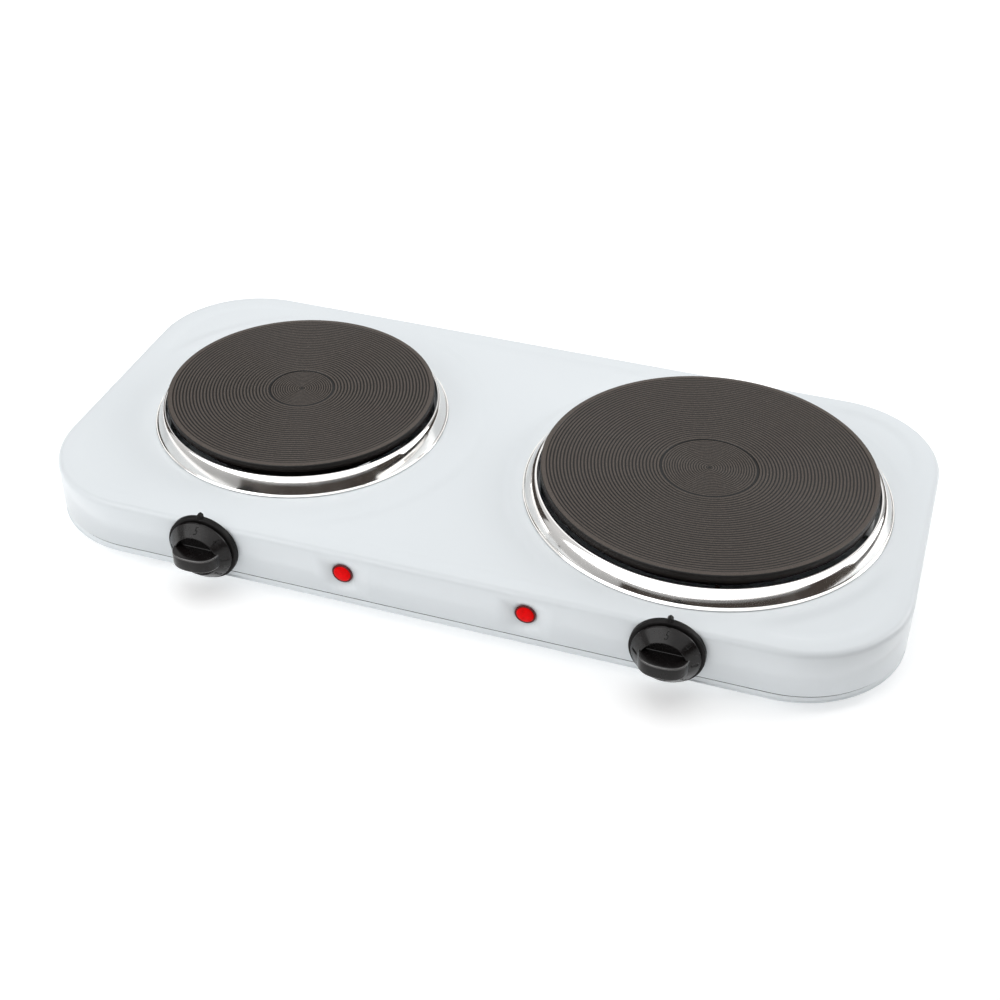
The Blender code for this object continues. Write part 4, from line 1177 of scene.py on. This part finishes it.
def world_light(scene):
    """A soft sky, brightest from the upper left behind the object and dimmest at the front right."""
    world = bpy.data.worlds.new("studio")
    scene.world = world
    world.use_nodes = True
    nodes = world.node_tree.nodes
    links = world.node_tree.links
    direction = nodes.new("ShaderNodeTexCoord").outputs["Generated"]
    facing = nodes.new("ShaderNodeVectorMath")
    facing.operation = "DOT_PRODUCT"
    facing.inputs[1].default_value = SKY_BRIGHT
    links.new(direction, facing.inputs[0])
    strength = nodes.new("ShaderNodeMapRange")
    strength.inputs["From Min"].default_value = -0.6
    strength.inputs["From Max"].default_value = 0.9
    strength.inputs["To Min"].default_value = SKY_STRENGTH[0]
    strength.inputs["To Max"].default_value = SKY_STRENGTH[1]
    links.new(facing.outputs["Value"], strength.inputs["Value"])
    links.new(strength.outputs["Result"], nodes["Background"].inputs["Strength"])
    nodes["Background"].inputs["Color"].default_value = (1, 1, 1, 1)


def studio():
    """Pale floor, four soft boxes, and the cards and the flag round the object."""
    scene = bpy.context.scene
    scene.view_settings.view_transform = "Standard"
    world_light(scene)
    floor_mesh = bmesh.new()
    bmesh.ops.create_circle(floor_mesh, cap_ends=True, radius=FLOOR_RADIUS, segments=96)
    floor = loose_piece("floor", floor_mesh)
    glow = {"Emission_Color": (1, 1, 1, 1), "Emission_Strength": FLOOR_GLOW}
    floor.data.materials.append(Shader("floor", (0.9, 0.9, 0.9), 0.9, **glow).material)

    area_light("front_left_box", (-1.1, -1.3, 1.3), (1.8, 1.2), 11.5)
    area_light("rear_box", (-0.2, 1.4, 1.5), (2.4, 1.4), 5)
    area_light("right_box", (1.5, 0.87, 0.8), (1.2, 0.9), 13)
    area_light("top_box", (0, 0, 2), (2, 2), 10.5)
    card("front_card", -118, -15, 0, 14, DARK_CARD, 0)
    card("front_right_card", -15, 12, 0, 20, DARK_CARD, 0)
    card("right_card", 40, 68, 0, 12, DARK_CARD, 0)
    card("left_card", 125, 175, 0, 26, DARK_CARD, 0)
    card("white_card", -165, -20, 20, 62, WHITE_CARD, 1.8, (-0.3, 0.7))
    card("right_white_card", -20, 40, 22, 62, WHITE_CARD, 0.8)
    flag()


def camera():
    """The view of the reference: the lens, place and tilt that line the object up with it."""
    data = bpy.data.cameras.new("camera")
    data.sensor_width = 36
    data.lens = CAMERA_LENS
    data.clip_end = 50
    obj = bpy.data.objects.new("camera", data)
    yaw = math.radians(CAMERA_YAW)
    pitch = math.radians(CAMERA_PITCH)
    roll = math.radians(CAMERA_ROLL)
    forward = Vector((math.sin(yaw) * math.cos(pitch), math.cos(yaw) * math.cos(pitch), -math.sin(pitch)))
    level = Vector((math.cos(yaw), -math.sin(yaw), 0))
    upright = level.cross(forward)
    right = math.cos(roll) * level + math.sin(roll) * upright
    up = -math.sin(roll) * level + math.cos(roll) * upright
    axes = Matrix((right, up, -forward)).transposed().to_4x4()
    obj.matrix_world = Matrix.Translation(CAMERA_PLACE) @ axes
    bpy.context.scene.collection.objects.link(obj)
    bpy.context.scene.camera = obj


def main():
    camera()
    studio()
    materials = make_materials()
    top_housing(materials)
    base_pan(materials)
    for side in SIDES:
        hot_plate(side, materials)
        trim_ring(side, materials)
        bezel(side, materials)
        knob(side, materials)
        lamp(side, materials)
    feet(materials)
    inlet(materials)
    base_screws(materials)
    finish_cad_nodes(materials)


main()
